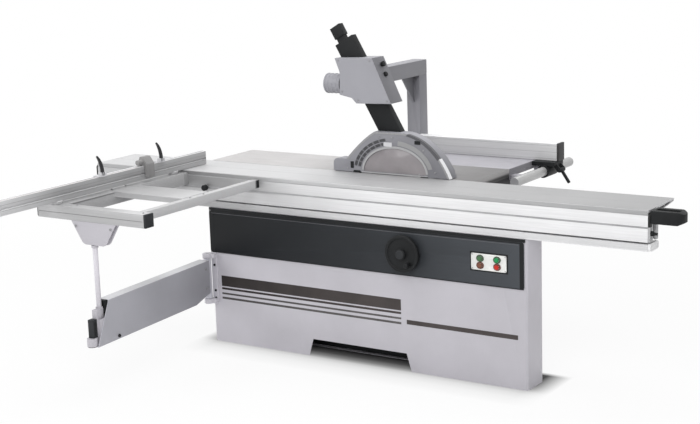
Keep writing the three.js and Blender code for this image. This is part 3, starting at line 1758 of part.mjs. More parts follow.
// A bar along the leaning mast axis, from one distance to another above its foot
function mastBlock(halfWidth, halfDepth, from, to, offset = 0) {
  const bar = new THREE.BoxGeometry(halfWidth * 2, halfDepth * 2, to - from);
  bar.translate(offset, 0, (from + to) / 2).rotateY(-lean);
  return bar.translate(mastFootX, guardMidY, mastFootZ);
}

// Duct mast with its neck and the block on top
function guardMast() {
  const below = mastWidth / 2;
  const footZ = hoodCollarZ + seatGap;
  const body = mastBlock(mastWidth / 2, mastDepth / 2, -below, mastLength);
  const footCut = block(
    mastFootX - mastWidth, mastFootX + mastWidth, guardMidY - mastDepth, guardMidY + mastDepth,
    footZ - mastWidth, footZ,
  );
  const neck = mastBlock(
    mastNeckWidth / 2, mastDepth / 3, mastLength - runGap, mastLength + mastNeck + runGap, mastCapOffset,
  );
  const cap = mastBlock(
    mastCapWidth / 2, mastCapDepth / 2, mastLength + mastNeck,
    mastLength + mastNeck + mastCapLength, mastCapOffset,
  );
  return join(cut(body, footCut), neck, cap);
}

// Clamp knob on the housing's leaning side
function housingKnob() {
  const knob = new THREE.CylinderGeometry(
    clampKnobRadius, clampKnobRadius * 0.85, clampKnobLength, smallSides,
  );
  const stem = new THREE.CylinderGeometry(clampKnobStem, clampKnobStem, clampKnobLength, smallSides);
  knob.translate(0, clampKnobLength * 0.8, 0);
  stem.translate(0, clampKnobLength / 2 + seatGap, 0);
  const whole = join(knob, stem);
  const top = housingCorners[0];
  const low = housingCorners[housingCorners.length - 1];
  const edge = new THREE.Vector2(top[0] - low[0], top[1] - low[1]).normalize();
  whole.rotateZ(-Math.PI / 2).rotateY(Math.atan2(edge.x, edge.y));
  return whole.translate(top[0] - edge.x * clampKnobAlong, clampKnobY, top[1] - edge.y * clampKnobAlong);
}

// Guard hood: a thin hollow casting over the blade, open below and at its windows
function hoodCorners() {
  const shape = new THREE.Shape();
  shape.moveTo(hoodNoseX, hoodBottomZ);
  shape.lineTo(hoodTipX, hoodBottomZ);
  shape.quadraticCurveTo(hoodShoulderX, hoodShoulderZ, hoodCollarInfeedX, hoodCollarZ);
  shape.lineTo(hoodCollarOutfeedX, hoodCollarZ);
  shape.quadraticCurveTo(hoodBrowPullX, hoodBrowPullZ, hoodBrowX, hoodNoseTopZ);
  shape.lineTo(hoodNoseX + hoodNoseRound, hoodNoseTopZ);
  shape.quadraticCurveTo(hoodNoseX, hoodNoseTopZ, hoodNoseX, hoodNoseTopZ - hoodNoseRound);
  return shape.getPoints(arcSteps * 2).map((point) => [point.x, point.y]);
}

// The back of the hood is a smaller outline with the same lower edge, so its rim steps in
function guardHood() {
  const front = guardMidY - hoodWidth / 2;
  const back = guardMidY + hoodWidth / 2;
  const step = back - hoodBackDepth;
  const corners = hoodCorners();
  const lowerCorners = 2;
  const small = insetCorners(corners, hoodStep).map(([x, z], i) => [x, i < lowerCorners ? hoodBottomZ : z]);
  const shell = join(alongY(outline(corners), front, step), alongY(outline(small), step - hoodWall, back));
  const rooms = [
    [corners, front + hoodWall, step - hoodWall],
    [small, front + hoodWall, back - hoodWall],
  ].flatMap(([rim, y0, y1]) => {
    const inner = insetCorners(rim, hoodWall);
    const mouth = block(
      inner[0][0], inner[1][0], y0, y1, hoodBottomZ - cutOver, hoodBottomZ + hoodWall * 1.5,
    );
    return [alongY(outline(inner), y0, y1), mouth];
  });
  const window = alongY(windowShape(0), front - cutOver, back + cutOver, arcSteps * 3);
  return cut(shell, ...rooms, window);
}

// The half-round window opening
function windowShape(inset) {
  const radius = windowRadius - inset;
  const rise = windowRadius * windowSquash - inset * 2;
  const shape = new THREE.Shape();
  shape.moveTo(windowCentreX - radius, windowBottomZ + inset);
  shape.lineTo(windowCentreX + radius, windowBottomZ + inset);
  shape.absellipse(windowCentreX, windowBottomZ + inset, radius, rise, 0, Math.PI, false);
  return shape;
}

function guardWindow() {
  const front = guardMidY - hoodWidth / 2 + windowPane / 2;
  return alongY(windowShape(seatGap), front, front + windowPane, arcSteps * 3);
}

addPiece('front_housing', frontHousing(), paintLight);
addPiece('rear_cabinet', rearCabinet(), paintLight);
addPiece('control_panel', controlPanel(), paintDark);
addPiece('switch_plate', switchPlate(), whitePlastic);
const buttonNames = [
  'stop_button_outfeed', 'start_button_outfeed', 'stop_button_infeed', 'start_button_infeed',
];
buttonPlaces().forEach(([x, z], i) => {
  addPiece(buttonNames[i], pushButton(x, z), i % 2 === 0 ? redPlastic : greenPlastic);
});
addPiece('handwheel', handwheel(), blackPlastic);
addPiece('handwheel_grip', handwheelGrip(), blackPlastic);

addPiece('base_rail', baseRail(), aluminium);
addPiece('rail_cap', railCap(), paintGrey);
addPiece('sliding_table', slidingTable(), aluminium);
const plateStart = tableInfeedX + seatGap;
addPiece('table_end_plate_infeed', tableEndPlate(plateStart, plateStart + plateThickness), blackPlastic);
const plateEnd = tableOutfeedX - seatGap;
addPiece('table_end_plate_outfeed', tableEndPlate(plateEnd - plateThickness, plateEnd), blackPlastic);
addPiece('roller_cage', rollerCage(), steel);
addPiece('push_handle', pushHandle(), blackPlastic);
addPiece('table_lock_lever', lockLever(), blackPlastic);

addPiece('main_table', mainTable(), castIron);
addPiece('throat_insert', throatInsert(), aluminium);
addPiece('rip_extension_table', ripExtensionTable(), castIron);
addPiece('guide_bar', guideBar(), steel);

addPiece('trunnion_frame', trunnionFrame(), castIron);
addPiece('tilt_carriage', tiltCarriage(), castIron);
addPiece('arbor_carrier', arborCarrier(), castIron);
addPiece('saw_spindle', sawSpindle(), steel);
addPiece('saw_blade', sawBlade(), steel);
addPiece('riving_knife', rivingKnife(), steel);
addPiece('scoring_blade', scoringBlade(), steel);
addPiece('motor', motor(), paintDark);
addPiece('motor_pulley', motorPulley(), steel);
addPiece('drive_belt', driveBelt(), rubberBlack);

addPiece('hinge_bracket', hingeBracket(), paintLight);
addPiece('support_beam', supportBeam(), paintGrey, arm);
addPiece('telescope_beam', telescopeBeam(), paintLight, arm);
addPiece('telescope_end_block', endBlock(), blackPlastic, arm);
addPiece('support_strut', supportStrut(), aluminium, arm);

addPiece('outrigger_frame', outriggerFrame(), aluminium);
addPiece('outrigger_clamp_left', clampBlock(sideBars()[0]), blackPlastic);
addPiece('outrigger_clamp_right', clampBlock(sideBars()[1]), blackPlastic);
addPiece('outrigger_end_cap', outriggerCap(), blackPlastic);
addPiece('strut_bracket', strutBracket(), paintLight);
addPiece('frame_clamp_knob', frameClampKnob(), blackPlastic);

addPiece('crosscut_fence', crosscutFence(), aluminium);
addPiece('fence_clamp', fenceClamp(), paintGrey);
addPiece('stop_carrier_near', stopCarrier(stopNearY), paintDark);
addPiece('stop_hook_near', stopHook(stopNearY), paintDark);
addPiece('stop_carrier_far', stopCarrier(stopFarY), paintDark);
addPiece('stop_hook_far', stopHook(stopFarY), paintDark);

addPiece('rip_fence_carrier', ripCarrier(), blackPlastic);
addPiece('rip_fence', ripFence(), aluminium);
addPiece('rip_fence_end_cap', ripFenceCap(), paintDark);
addPiece('rip_fence_lever', ripLever(), blackPlastic);

addPiece('overarm_post', overarmPost(), paintGrey);
addPiece('overarm_tube', overarmTube(), paintGrey);
addPiece('guard_housing', guardHousing(), paintGrey);
addPiece('housing_clamp_knob', housingKnob(), blackPlastic);
addPiece('guard_mast', guardMast(), blackPlastic);
addPiece('guard_hood', guardHood(), paintGrey);
addPiece('guard_window', guardWindow(), smokedPlastic);

export default saw;
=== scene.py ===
"""Looks of the sliding table panel saw: finishes of the solids and the small pieces on them."""

import json
import math

import bmesh
import bpy
from mathutils import Matrix, Vector


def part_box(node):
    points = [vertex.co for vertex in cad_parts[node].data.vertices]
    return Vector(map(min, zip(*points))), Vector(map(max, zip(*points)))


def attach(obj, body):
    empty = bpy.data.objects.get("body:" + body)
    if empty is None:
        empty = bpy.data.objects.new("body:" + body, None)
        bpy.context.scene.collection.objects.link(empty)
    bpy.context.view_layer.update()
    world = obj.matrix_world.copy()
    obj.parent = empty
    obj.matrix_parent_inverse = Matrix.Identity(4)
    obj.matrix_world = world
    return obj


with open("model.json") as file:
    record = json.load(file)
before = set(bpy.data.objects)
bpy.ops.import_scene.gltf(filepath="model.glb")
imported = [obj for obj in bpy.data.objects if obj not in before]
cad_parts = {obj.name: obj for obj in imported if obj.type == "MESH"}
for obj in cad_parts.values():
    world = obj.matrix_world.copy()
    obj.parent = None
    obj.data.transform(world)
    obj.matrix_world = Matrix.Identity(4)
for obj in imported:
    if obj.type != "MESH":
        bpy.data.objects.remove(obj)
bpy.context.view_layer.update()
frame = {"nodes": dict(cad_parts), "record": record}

bl_info = {
    "name": "Sliding table panel saw",
    "version": (1, 0, 0),
    "blender": (4, 5, 0),
    "location": "View3D > Sidebar > Panel saw",
    "description": "Dresses the solids of a sliding table panel saw and lights them",
    "category": "Object",
}


# Sizes and colours that a user would change


def slot_colour(slot):
    """Base colour that the record states for a material slot."""
    for row in frame["record"]["materials"]:
        if row["slot"] == slot:
            return tuple(row["base_color"])
    raise KeyError(slot)


def length(name, description, default):
    """A length in metres, shown in the scene's units."""
    return bpy.props.FloatProperty(
        name=name, description=description, default=default, min=0.0, unit="LENGTH"
    )


def colour(name, description, default):
    """A colour, by default the one of a material slot."""
    return bpy.props.FloatVectorProperty(
        name=name,
        description=description,
        default=slot_colour(default) if isinstance(default, str) else default,
        subtype="COLOR",
        min=0.0,
        max=1.0,
        size=3,
    )


class PanelSawSizes(bpy.types.PropertyGroup):
    """Sizes of the pieces that dress the saw."""

    edge_round: length("Edge rounding", "Radius of the broken edges", 0.0012)
    stripe_lift: length("Stripe thickness", "Thickness of the foil stripes", 0.0003)
    trim_lift: length("Trim thickness", "How far the panel trims stand proud", 0.0004)
    screw_radius: length("Screw radius", "Radius that the cap screws are shares of", 0.005)


class PanelSawColours(bpy.types.PropertyGroup):
    """Colours of the saw's finishes."""

    sheet_paint: colour("Sheet paint", "Paint of the cabinet", "light_paint")
    arm_paint: colour("Arm paint", "Paint of the arm and the overarm", "grey_paint")
    panel_paint: colour("Panel paint", "Paint of the control panel", "dark_paint")
    black_plastic: colour("Black plastic", "Handles and caps", "black_plastic")
    dark_plastic: colour("Dark plastic", "End caps of the fence", "dark_plastic")
    grey_plastic: colour("Grey plastic", "Cap of the rail", "grey_plastic")
    white_plastic: colour("White plastic", "Plate of the switches", "white_plastic")
    stop_red: colour("Stop button", "Caps of the stop buttons", "red_plastic")
    start_green: colour("Start button", "Caps of the start buttons", "green_plastic")
    window_tint: colour("Window tint", "Clear window of the hood", "smoked_plastic")
    aluminium: colour("Aluminium", "Extrusions", "aluminium")
    steel: colour("Steel", "Turned and ground steel", "steel")
    table_iron: colour("Table iron", "Ground cast iron of the table", "cast_iron")
    extension_iron: colour(
        "Extension iron", "Ground iron of the extension", "table_extension_iron"
    )
    belt: colour("Belt", "Ribbed drive belt", "belt_rubber")
    floor: colour("Floor", "Studio floor", (0.9, 0.9, 0.9))


# Materials

# How far a normal turns from bare metal's edge to none of it, as 1 less the cosine
EDGE_TURN = (0.02, 0.22)
# The noise that breaks up worn edges: its scale, and the part of it that is kept
EDGE_BREAKS = 60.0
EDGE_BREAK_BAND = (0.35, 0.65)
# Half the width of the step at a height that a shading rule names
RULE_STEP = 0.0005
# Share of a normal's axis at which a rule for a side begins and holds in full
RULE_SIDE = (0.4, 0.8)


class Wire:
    """A shader socket that can be used in sums."""

    def __init__(self, kit, socket):
        self.kit = kit
        self.socket = socket

    def _math(self, operation, first, second):
        return self.kit.node(
            "ShaderNodeMath", {"operation": operation}, {0: first, 1: second}
        )

    def __add__(self, other):
        return self._math("ADD", self, other)

    def __radd__(self, other):
        return self._math("ADD", other, self)

    def __sub__(self, other):
        return self._math("SUBTRACT", self, other)

    def __rsub__(self, other):
        return self._math("SUBTRACT", other, self)

    def __mul__(self, other):
        return self._math("MULTIPLY", self, other)

    def __rmul__(self, other):
        return self._math("MULTIPLY", other, self)


class Finish:
    """A node material, or a world, under construction."""

    def __init__(self, name, owner=None):
        owner = owner or bpy.data.materials.new(f"saw_{name}")
        owner.use_nodes = True
        self.name = name
        self.material = owner
        self.tree = owner.node_tree
        self.tree.nodes.clear()

    def node(self, kind, settings=None, sockets=None, output=0):
        """A node with its settings, then its sockets, as the wire of one output."""
        made = self.tree.nodes.new(kind)
        for key, value in (settings or {}).items():
            if key == "stops":
                ramp = made.color_ramp.elements
                while len(ramp) < len(value):
                    ramp.new(0.5)
                for element, (place, tone) in zip(ramp, value):
                    element.position = place
                    element.color = (*tone, 1.0)
            else:
                setattr(made, key, value)
        for key, value in (sockets or {}).items():
            socket = made.inputs[key]
            if isinstance(value, Wire):
                self.tree.links.new(value.socket, socket)
            elif socket.type == "RGBA" and len(value) == 3:
                socket.default_value = (*value, 1.0)
            else:
                socket.default_value = value
        return Wire(self, made.outputs[output])

    def place(self, scale=(1.0, 1.0, 1.0)):
        """Place in the part's frame, stretched by scale."""
        coords = self.node("ShaderNodeTexCoord", output="Object")
        return self.node(
            "ShaderNodeVectorMath",
            {"operation": "MULTIPLY"},
            {0: coords, 1: scale},
        )

    def noise(self, scale, stretch=(1.0, 1.0, 1.0), detail=3.0, rough=0.55):
        """Soft noise between 0 and 1."""
        return self.node(
            "ShaderNodeTexNoise",
            {"noise_dimensions": "3D"},
            {
                "Vector": self.place(stretch),
                "Scale": scale,
                "Detail": detail,
                "Roughness": rough,
            },
        )

    def band(self, value, low, high):
        """Value spread from low to high over 0 to 1, clamped."""
        return self.node(
            "ShaderNodeMapRange",
            {"clamp": True},
            {"Value": value, "From Min": low, "From Max": high},
        )

    def worn_edge(self, radius):
        """Mask that is 1 along sharp edges, broken up by noise."""
        rounded = self.node("ShaderNodeBevel", {"samples": 4}, {"Radius": radius})
        plain = self.node("ShaderNodeNewGeometry", output="Normal")
        match = self.node(
            "ShaderNodeVectorMath",
            {"operation": "DOT_PRODUCT"},
            {0: rounded, 1: plain},
            output="Value",
        )
        edge = self.band(1.0 - match, *EDGE_TURN)
        return edge * self.band(self.noise(EDGE_BREAKS), *EDGE_BREAK_BAND)

    def mix(self, share, first, second):
        """Colour that goes from first to second."""
        return self.node(
            "ShaderNodeMix",
            {"data_type": "RGBA", "blend_type": "MIX"},
            {0: share, 6: first, 7: second},
            output=2,
        )

    def bump(self, height, strength, distance):
        """Normal from a height."""
        return self.node(
            "ShaderNodeBump", None, {"Height": height, "Strength": strength, "Distance": distance}
        )

    def close(self, shader, kind="ShaderNodeOutputMaterial"):
        """Ends the tree with a shader."""
        out = self.tree.nodes.new(kind)
        self.tree.links.new(shader.socket, out.inputs["Surface"])
        return self.material

    def surface(self, sockets):
        """Closes the material with one Principled shader."""
        return self.close(self.node("ShaderNodeBsdfPrincipled", None, sockets))

    def part_of(self, axis, output="Object"):
        """One coordinate of the place, or of the normal, in the part's frame."""
        coords = self.node("ShaderNodeTexCoord", output=output)
        return self.node("ShaderNodeSeparateXYZ", None, {0: coords}, output=axis.upper())

    def where(self, mask):
        """1 where a rule such as +z, -y, z>0.865 or -y&z>0.8 holds; an empty one always does."""
        if not mask:
            return 1.0
        if "&" in mask:
            first, second = mask.split("&")
            return self.where(first) * self.where(second)
        if ">" in mask:
            axis, edge = mask.split(">")
            edge = float(edge)
            return self.band(self.part_of(axis), edge - RULE_STEP, edge + RULE_STEP)
        sign = 1.0 if mask[0] == "+" else -1.0
        return self.band(self.part_of(mask[1], "Normal") * sign, *RULE_SIDE)

    def with_painted_light(self, base):
        """The base with the painted light and shade, and the other tone changes, that are listed
        for this finish.
        """
        for rule, axis, start, end, first, last in PAINTED_LIGHT_AND_TONES.get(self.name, ()):
            share = self.node(
                "ShaderNodeMapRange",
                {"clamp": True},
                {
                    "Value": self.part_of(axis),
                    "From Min": start,
                    "From Max": end,
                    "To Min": first,
                    "To Max": last,
                },
            )
            scaled = self.node(
                "ShaderNodeVectorMath", {"operation": "SCALE"}, {0: base, "Scale": share}
            )
            base = self.mix(self.where(rule), base, scaled)
        return base


def toned(tone, share):
    """The tone scaled by one share, or by one for each channel, at most 1."""
    shares = share if isinstance(share, tuple) else (share, share, share)
    return tuple(min(1.0, channel * part) for channel, part in zip(tone, shares))


# How coarse each texture is: the noise's scale in the part's frame
CLOUDS = 3.0
PAINT_GRAIN = 900.0
PLASTIC_CLOUDS = 9.0
PLASTIC_GRAIN = 1400.0
DRAWN_LINES = 220.0
METAL_CLOUDS = 2.4
GRINDING_LINES = 160.0
OIL_STAINS = 5.0
PORES = 260.0
SCRATCHES = 300.0
HAZE = 7.0
# The middle of a noise, spread over 0 to 1
MIDDLE = (0.3, 0.7)
# Widths of the worn edges, in metres
PAINT_EDGE = 0.003
FINE_EDGE = 0.002
# Gloss of plastic, and the alpha of the window where it is clearest
PLASTIC_GLOSS = 0.22
WINDOW_ALPHA = 0.74


def painted(name, tone, wear=1.4, gloss=0.4, roughness=0.42):
    """Powder paint: fine texture, cloudy tone, paler at worn edges."""
    kit = Finish(name)
    cloud = kit.noise(CLOUDS, detail=4.0)
    speck = kit.noise(PAINT_GRAIN, detail=1.0)
    worn = kit.worn_edge(PAINT_EDGE)
    base = kit.mix(kit.band(cloud, *MIDDLE), toned(tone, 0.93), toned(tone, 1.06))
    base = kit.mix(0.25 * kit.band(speck, 0.45, 0.7), base, toned(tone, 0.8))
    return kit.surface(
        {
            "Base Color": kit.with_painted_light(kit.mix(0.45 * worn, base, toned(tone, wear))),
            "Roughness": roughness + 0.1 * cloud - 0.08 * worn,
            "Normal": kit.bump(speck + 0.2 * cloud, 0.18, 0.0004),
            "Specular IOR Level": gloss,
        }
    )


def moulded(name, tone, roughness=0.5, wear=2.2):
    """Moulded plastic with a fine eroded grain."""
    kit = Finish(name)
    grain = kit.noise(PLASTIC_GRAIN, detail=2.0)
    cloud = kit.noise(PLASTIC_CLOUDS)
    worn = kit.worn_edge(FINE_EDGE)
    base = kit.mix(kit.band(cloud, *MIDDLE), toned(tone, 0.85), toned(tone, 1.15))
    return kit.surface(
        {
            "Base Color": kit.with_painted_light(kit.mix(0.3 * worn, base, toned(tone, wear))),
            "Roughness": roughness + 0.12 * grain - 0.1 * worn,
            "Normal": kit.bump(grain, 0.2, 0.0003),
            "Specular IOR Level": PLASTIC_GLOSS,
        }
    )


# How the lines of drawn and ground metal are stretched
ALONG_X = (0.02, 1.0, 1.0)
ALONG_Y = (1.0, 0.02, 1.0)
ALONG_Z = (1.0, 1.0, 0.05)
GROUND_X = (0.05, 1.0, 1.0)
SCRATCHED_X = (0.1, 1.0, 1.0)


def drawn_metal(name, tone, stretch=ALONG_X, roughness=0.36, metallic=0.3):
    """Extruded or ground metal: fine lines one way and a cloudy sheen."""
    kit = Finish(name)
    lines = kit.noise(DRAWN_LINES, stretch, detail=4.0, rough=0.7)
    cloud = kit.noise(METAL_CLOUDS)
    worn = kit.worn_edge(FINE_EDGE)
    base = kit.mix(kit.band(lines, *MIDDLE), toned(tone, 0.9), toned(tone, 1.05))
    base = kit.mix(0.35 * kit.band(cloud, 0.35, 0.7), base, toned(tone, 0.85))
    return kit.surface(
        {
            "Base Color": kit.with_painted_light(kit.mix(0.4 * worn, base, toned(tone, 1.2))),
            "Metallic": metallic - 0.1 * cloud,
            "Roughness": roughness + 0.16 * lines + 0.08 * cloud - 0.08 * worn,
            "Normal": kit.bump(lines, 0.12, 0.0003),
        }
    )


def ground_iron(name, tone, roughness=0.42, metallic=0.3):
    """Ground cast iron: crossed grinding lines, pores and oil stains."""
    kit = Finish(name)
    lines = kit.noise(GRINDING_LINES, GROUND_X, detail=5.0, rough=0.7)
    stain = kit.noise(OIL_STAINS, detail=5.0, rough=0.6)
    pores = kit.node(
        "ShaderNodeTexVoronoi", {"feature": "F1"}, {"Vector": kit.place(), "Scale": PORES}
    )
    pit = 1.0 - kit.band(pores, 0.05, 0.25)
    worn = kit.worn_edge(PAINT_EDGE)
    base = kit.mix(kit.band(lines, *MIDDLE), toned(tone, 0.88), toned(tone, 1.08))
    base = kit.mix(0.4 * kit.band(stain, 0.45, 0.75), base, toned(tone, 0.78))
    base = kit.mix(0.35 * pit, base, toned(tone, 0.5))
    return kit.surface(
        {
            "Base Color": kit.with_painted_light(kit.mix(0.4 * worn, base, toned(tone, 1.25))),
            "Metallic": metallic - 0.1 * stain,
            "Roughness": roughness + 0.15 * lines + 0.12 * stain,
            "Normal": kit.bump(lines - 0.5 * pit, 0.15, 0.0003),
        }
    )


def tinted_window(name, tone):
    """Tinted clear sheet with fine scratches."""
    kit = Finish(name)
    scratch = kit.noise(SCRATCHES, SCRATCHED_X, detail=5.0, rough=0.75)
    haze = kit.noise(HAZE)
    return kit.surface(
        {
            "Base Color": kit.mix(kit.band(haze, *MIDDLE), toned(tone, 0.9), toned(tone, 1.1)),
            "Roughness": 0.12 + 0.15 * kit.band(scratch, 0.5, 0.75),
            "Alpha": WINDOW_ALPHA + 0.1 * haze,
            "Normal": kit.bump(scratch, 0.06, 0.0002),
            "Coat Weight": 0.3 + 0.2 * haze,
        }
    )


# Materials by the name of their slot, node group or trim
FINISHES = {}

# The finish of a node where it isn't plainly that of its slot
NODE_FINISHES = {
    "sliding_table": "table_extrusion",
    "base_rail": "rail_extrusion",
    "rail_cap": "rail_end_cap",
    "outrigger_frame": "outrigger_bars",
    "outrigger_clamp_left": "clamp_block",
    "outrigger_clamp_right": "clamp_block",
    "outrigger_end_cap": "dark_plastic",
    "telescope_end_block": "dark_plastic",
    "start_button_outfeed": "dull_green",
    "stop_button_outfeed": "dull_red",
    "crosscut_fence": "crosscut_bar",
    "rip_fence": "rip_bar",
    "guide_bar": "guide_tube",
    "main_table": "main_top",
    "rear_cabinet": "cabinet_paint",
    "fence_clamp": "clamp_paint",
    "table_end_plate_infeed": "end_plate",
    "table_end_plate_outfeed": "end_plate",
    "rip_fence_end_cap": "soft_cap",
    "stop_carrier_near": "pale_edge",
    "stop_carrier_far": "pale_edge",
    "stop_hook_near": "hook_paint",
    "stop_hook_far": "hook_paint",
    "overarm_post": "overarm_paint",
    "overarm_tube": "overarm_paint",
    "guard_hood": "hood_paint",
    "guard_housing": "housing_paint",
    "support_beam": "beam_paint",
    "telescope_beam": "inner_beam_paint",
    "support_strut": "strut_tube",
    "hinge_bracket": "bracket_paint",
    "front_housing": "housing_sheet",
}

# Tone changes over a finish, nearly all painted light and shade (lighter lit tops, darker shaded
# sides, light and reflection falling off along a piece, painted shadow bands): rule, axis, from,
# to, share of the tone there, share here
PAINTED_LIGHT_AND_TONES = {
    # Control panel: a painted reflection, darker at the left and lighter at the right
    "dark_paint": (("", "x", -0.9, 0.0, 0.32, 0.8), ("", "x", 0.0, 0.85, 1.0, 2.4)),
    "table_extension_iron": (("+x", "y", 0.28, 0.66, 0.5, 0.85),),
    "housing_sheet": (("+x", "z", 0.0, 0.7, 1.04, 1.12), ("-y", "x", -0.85, 0.3, 1.12, 1.0)),
    # Rear cabinet: a near black band above 0.8 m, painted shadow under the tables
    "cabinet_paint": (("z>0.8", "z", 0.8, 0.9, 0.07, 0.07),),
    # End plates: two tones, near black above 0.812 m and pale below
    "end_plate": (("z>0.812", "z", 0.8, 0.9, 0.04, 0.04),),
    # Support beam: painted light, lighter towards its end and on top, and a painted highlight on
    # the hinge barrel
    "beam_paint": (
        ("-y", "y", -1.4, -0.4, 1.55, 1.0),
        ("+x", "y", -1.35, -0.44, 1.15, 0.95),
        ("+z", "y", -1.35, -0.4, 1.5, 1.5),
        ("", "y", -0.4385, -0.436, 1.0, 1.8),
    ),
    "overarm_paint": (("+z", "y", 0.0, 0.8, 1.5, 1.5), ("", "z", 0.9, 1.32, 1.32, 0.9)),
    "hood_paint": (
        ("+z", "x", -0.3, 0.3, 1.4, 1.4),
        ("-y", "x", -0.2, 0.25, 1.14, 0.84),
        ("+x", "z", 0.9, 1.09, 0.8, 0.8),
    ),
    # Guard housing: its leaning side darker, painted shade
    "housing_paint": (("+x", "z", 1.2, 1.46, 0.5, 0.56),),
    "stripe_foil": (("", "x", -0.84, 0.23, 1.0, 1.9),),
    "pale_stripe_foil": (("", "x", -0.84, 0.23, 1.0, 1.5),),
    "table_extrusion": (
        ("-y", "x", -1.4, 0.1, 0.5, 1.05),
        ("-y&z>0.8", "x", -0.75, -0.35, 0.62, 1.0),
        ("-y", "x", -1.14, -1.11, 2.1, 1.0),
        ("z>0.8655", "x", -0.45, 0.5, 0.84, 0.57),
        ("z>0.8655", "x", 0.5, 1.4, 1.0, 0.86),
    ),
    "rail_extrusion": (
        ("-y", "x", -1.4, 0.1, 0.36, 1.0),
        ("-y&z>0.712", "x", 0.0, 1.3, 0.92, 0.85),
    ),
    "outrigger_bars": (
        ("-y", "x", -1.5, -0.9, 1.14, 1.03),
        ("+z", "x", -0.75, -0.6, 1.0, 1.33),
        ("+x", "x", -0.75, -0.62, 1.0, 1.28),
    ),
    "crosscut_bar": (
        ("+x", "y", -1.71, -1.25, 1.04, 0.62),
        ("+z", "y", -1.71, -0.19, 1.25, 1.25),
    ),
    "rip_bar": (("-y", "x", -0.2, 0.6, 0.66, 0.9), ("+z", "x", -0.2, 0.6, 1.15, 1.15)),
    # Main table: its top painted darker towards the right, and the lower part of its infeed side
    # near black, painted shade
    "main_top": (("+z", "x", -0.55, 0.42, 1.3, 0.46), ("+x", "z", 0.858, 0.870, 0.08, 0.85)),
    "strut_tube": (("", "z", 0.42, 0.6, 0.92, 1.08),),
}


def add(name, maker, tone, **settings):
    """Makes the finish of a slot, a node or a trim."""
    FINISHES[name] = maker(name, tone, **settings)


def make_slot_finishes(colours, paint, arm):
    """One finish for each material slot of the record."""
    add("light_paint", painted, paint)
    add("grey_paint", painted, arm)
    panel = toned(colours.panel_paint, (1.06, 0.9, 0.76))
    add("dark_paint", painted, panel, wear=2.0, gloss=0.15)
    add("black_plastic", moulded, colours.black_plastic)
    add("dark_plastic", moulded, colours.dark_plastic)
    add("grey_plastic", moulded, colours.grey_plastic, wear=1.2)
    add("white_plastic", moulded, colours.white_plastic, roughness=0.3, wear=1.1)
    add("red_plastic", moulded, colours.stop_red, roughness=0.25, wear=1.4)
    add("green_plastic", moulded, colours.start_green, roughness=0.25, wear=1.4)
    add("smoked_plastic", tinted_window, toned(colours.window_tint, (1.62, 1.76, 1.72)))
    add("aluminium", drawn_metal, colours.aluminium)
    add("steel", drawn_metal, colours.steel, stretch=ALONG_Z, roughness=0.28, metallic=0.6)
    add("cast_iron", ground_iron, colours.table_iron)
    add("table_extension_iron", ground_iron, toned(colours.extension_iron, 0.9))
    add("belt_rubber", moulded, colours.belt, roughness=0.7)


def make_node_finishes(colours, paint, arm):
    """Finishes of single nodes."""
    metal = colours.aluminium
    add("housing_sheet", painted, paint)
    add("cabinet_paint", painted, paint)
    # A lighter copy of the sheet paint: painted light on the hinge bracket, which stands in shade;
    # the housing rivets use it too
    add("bracket_paint", painted, toned(paint, 1.2))
    add("inner_beam_paint", painted, paint)
    add("beam_paint", painted, toned(arm, 1.07))
    add("overarm_paint", painted, toned(arm, 0.68))
    add("hood_paint", painted, toned(arm, 0.75))
    add("housing_paint", painted, arm)
    add("hook_paint", painted, (0.02, 0.02, 0.022))
    add("clamp_paint", painted, toned(colours.arm_paint, (0.86, 0.8, 0.76)))
    add("end_plate", moulded, (0.5, 0.5, 0.51), wear=1.1)
    add("soft_cap", moulded, (0.06, 0.058, 0.06))
    add("rail_end_cap", moulded, (0.84, 0.84, 0.85), wear=1.1)
    add("dull_green", moulded, (0.07, 0.16, 0.07), roughness=0.3, wear=1.4)
    add("dull_red", moulded, (0.2, 0.08, 0.05), roughness=0.3, wear=1.4)
    add("clamp_block", drawn_metal, toned(metal, 0.5))
    add("table_extrusion", drawn_metal, metal)
    add("rail_extrusion", drawn_metal, metal)
    add("outrigger_bars", drawn_metal, toned(metal, 0.6))
    add("crosscut_bar", drawn_metal, toned(metal, 0.86), stretch=ALONG_Y)
    add("rip_bar", drawn_metal, metal)
    grey = (0.5, 0.5, 0.5)
    add("guide_tube", drawn_metal, grey, stretch=ALONG_Y, roughness=0.3, metallic=0.4)
    tube = (0.72, 0.7, 0.75)
    add("strut_tube", drawn_metal, tube, stretch=ALONG_Z, roughness=0.35, metallic=0.2)
    add("main_top", ground_iron, colours.table_iron)


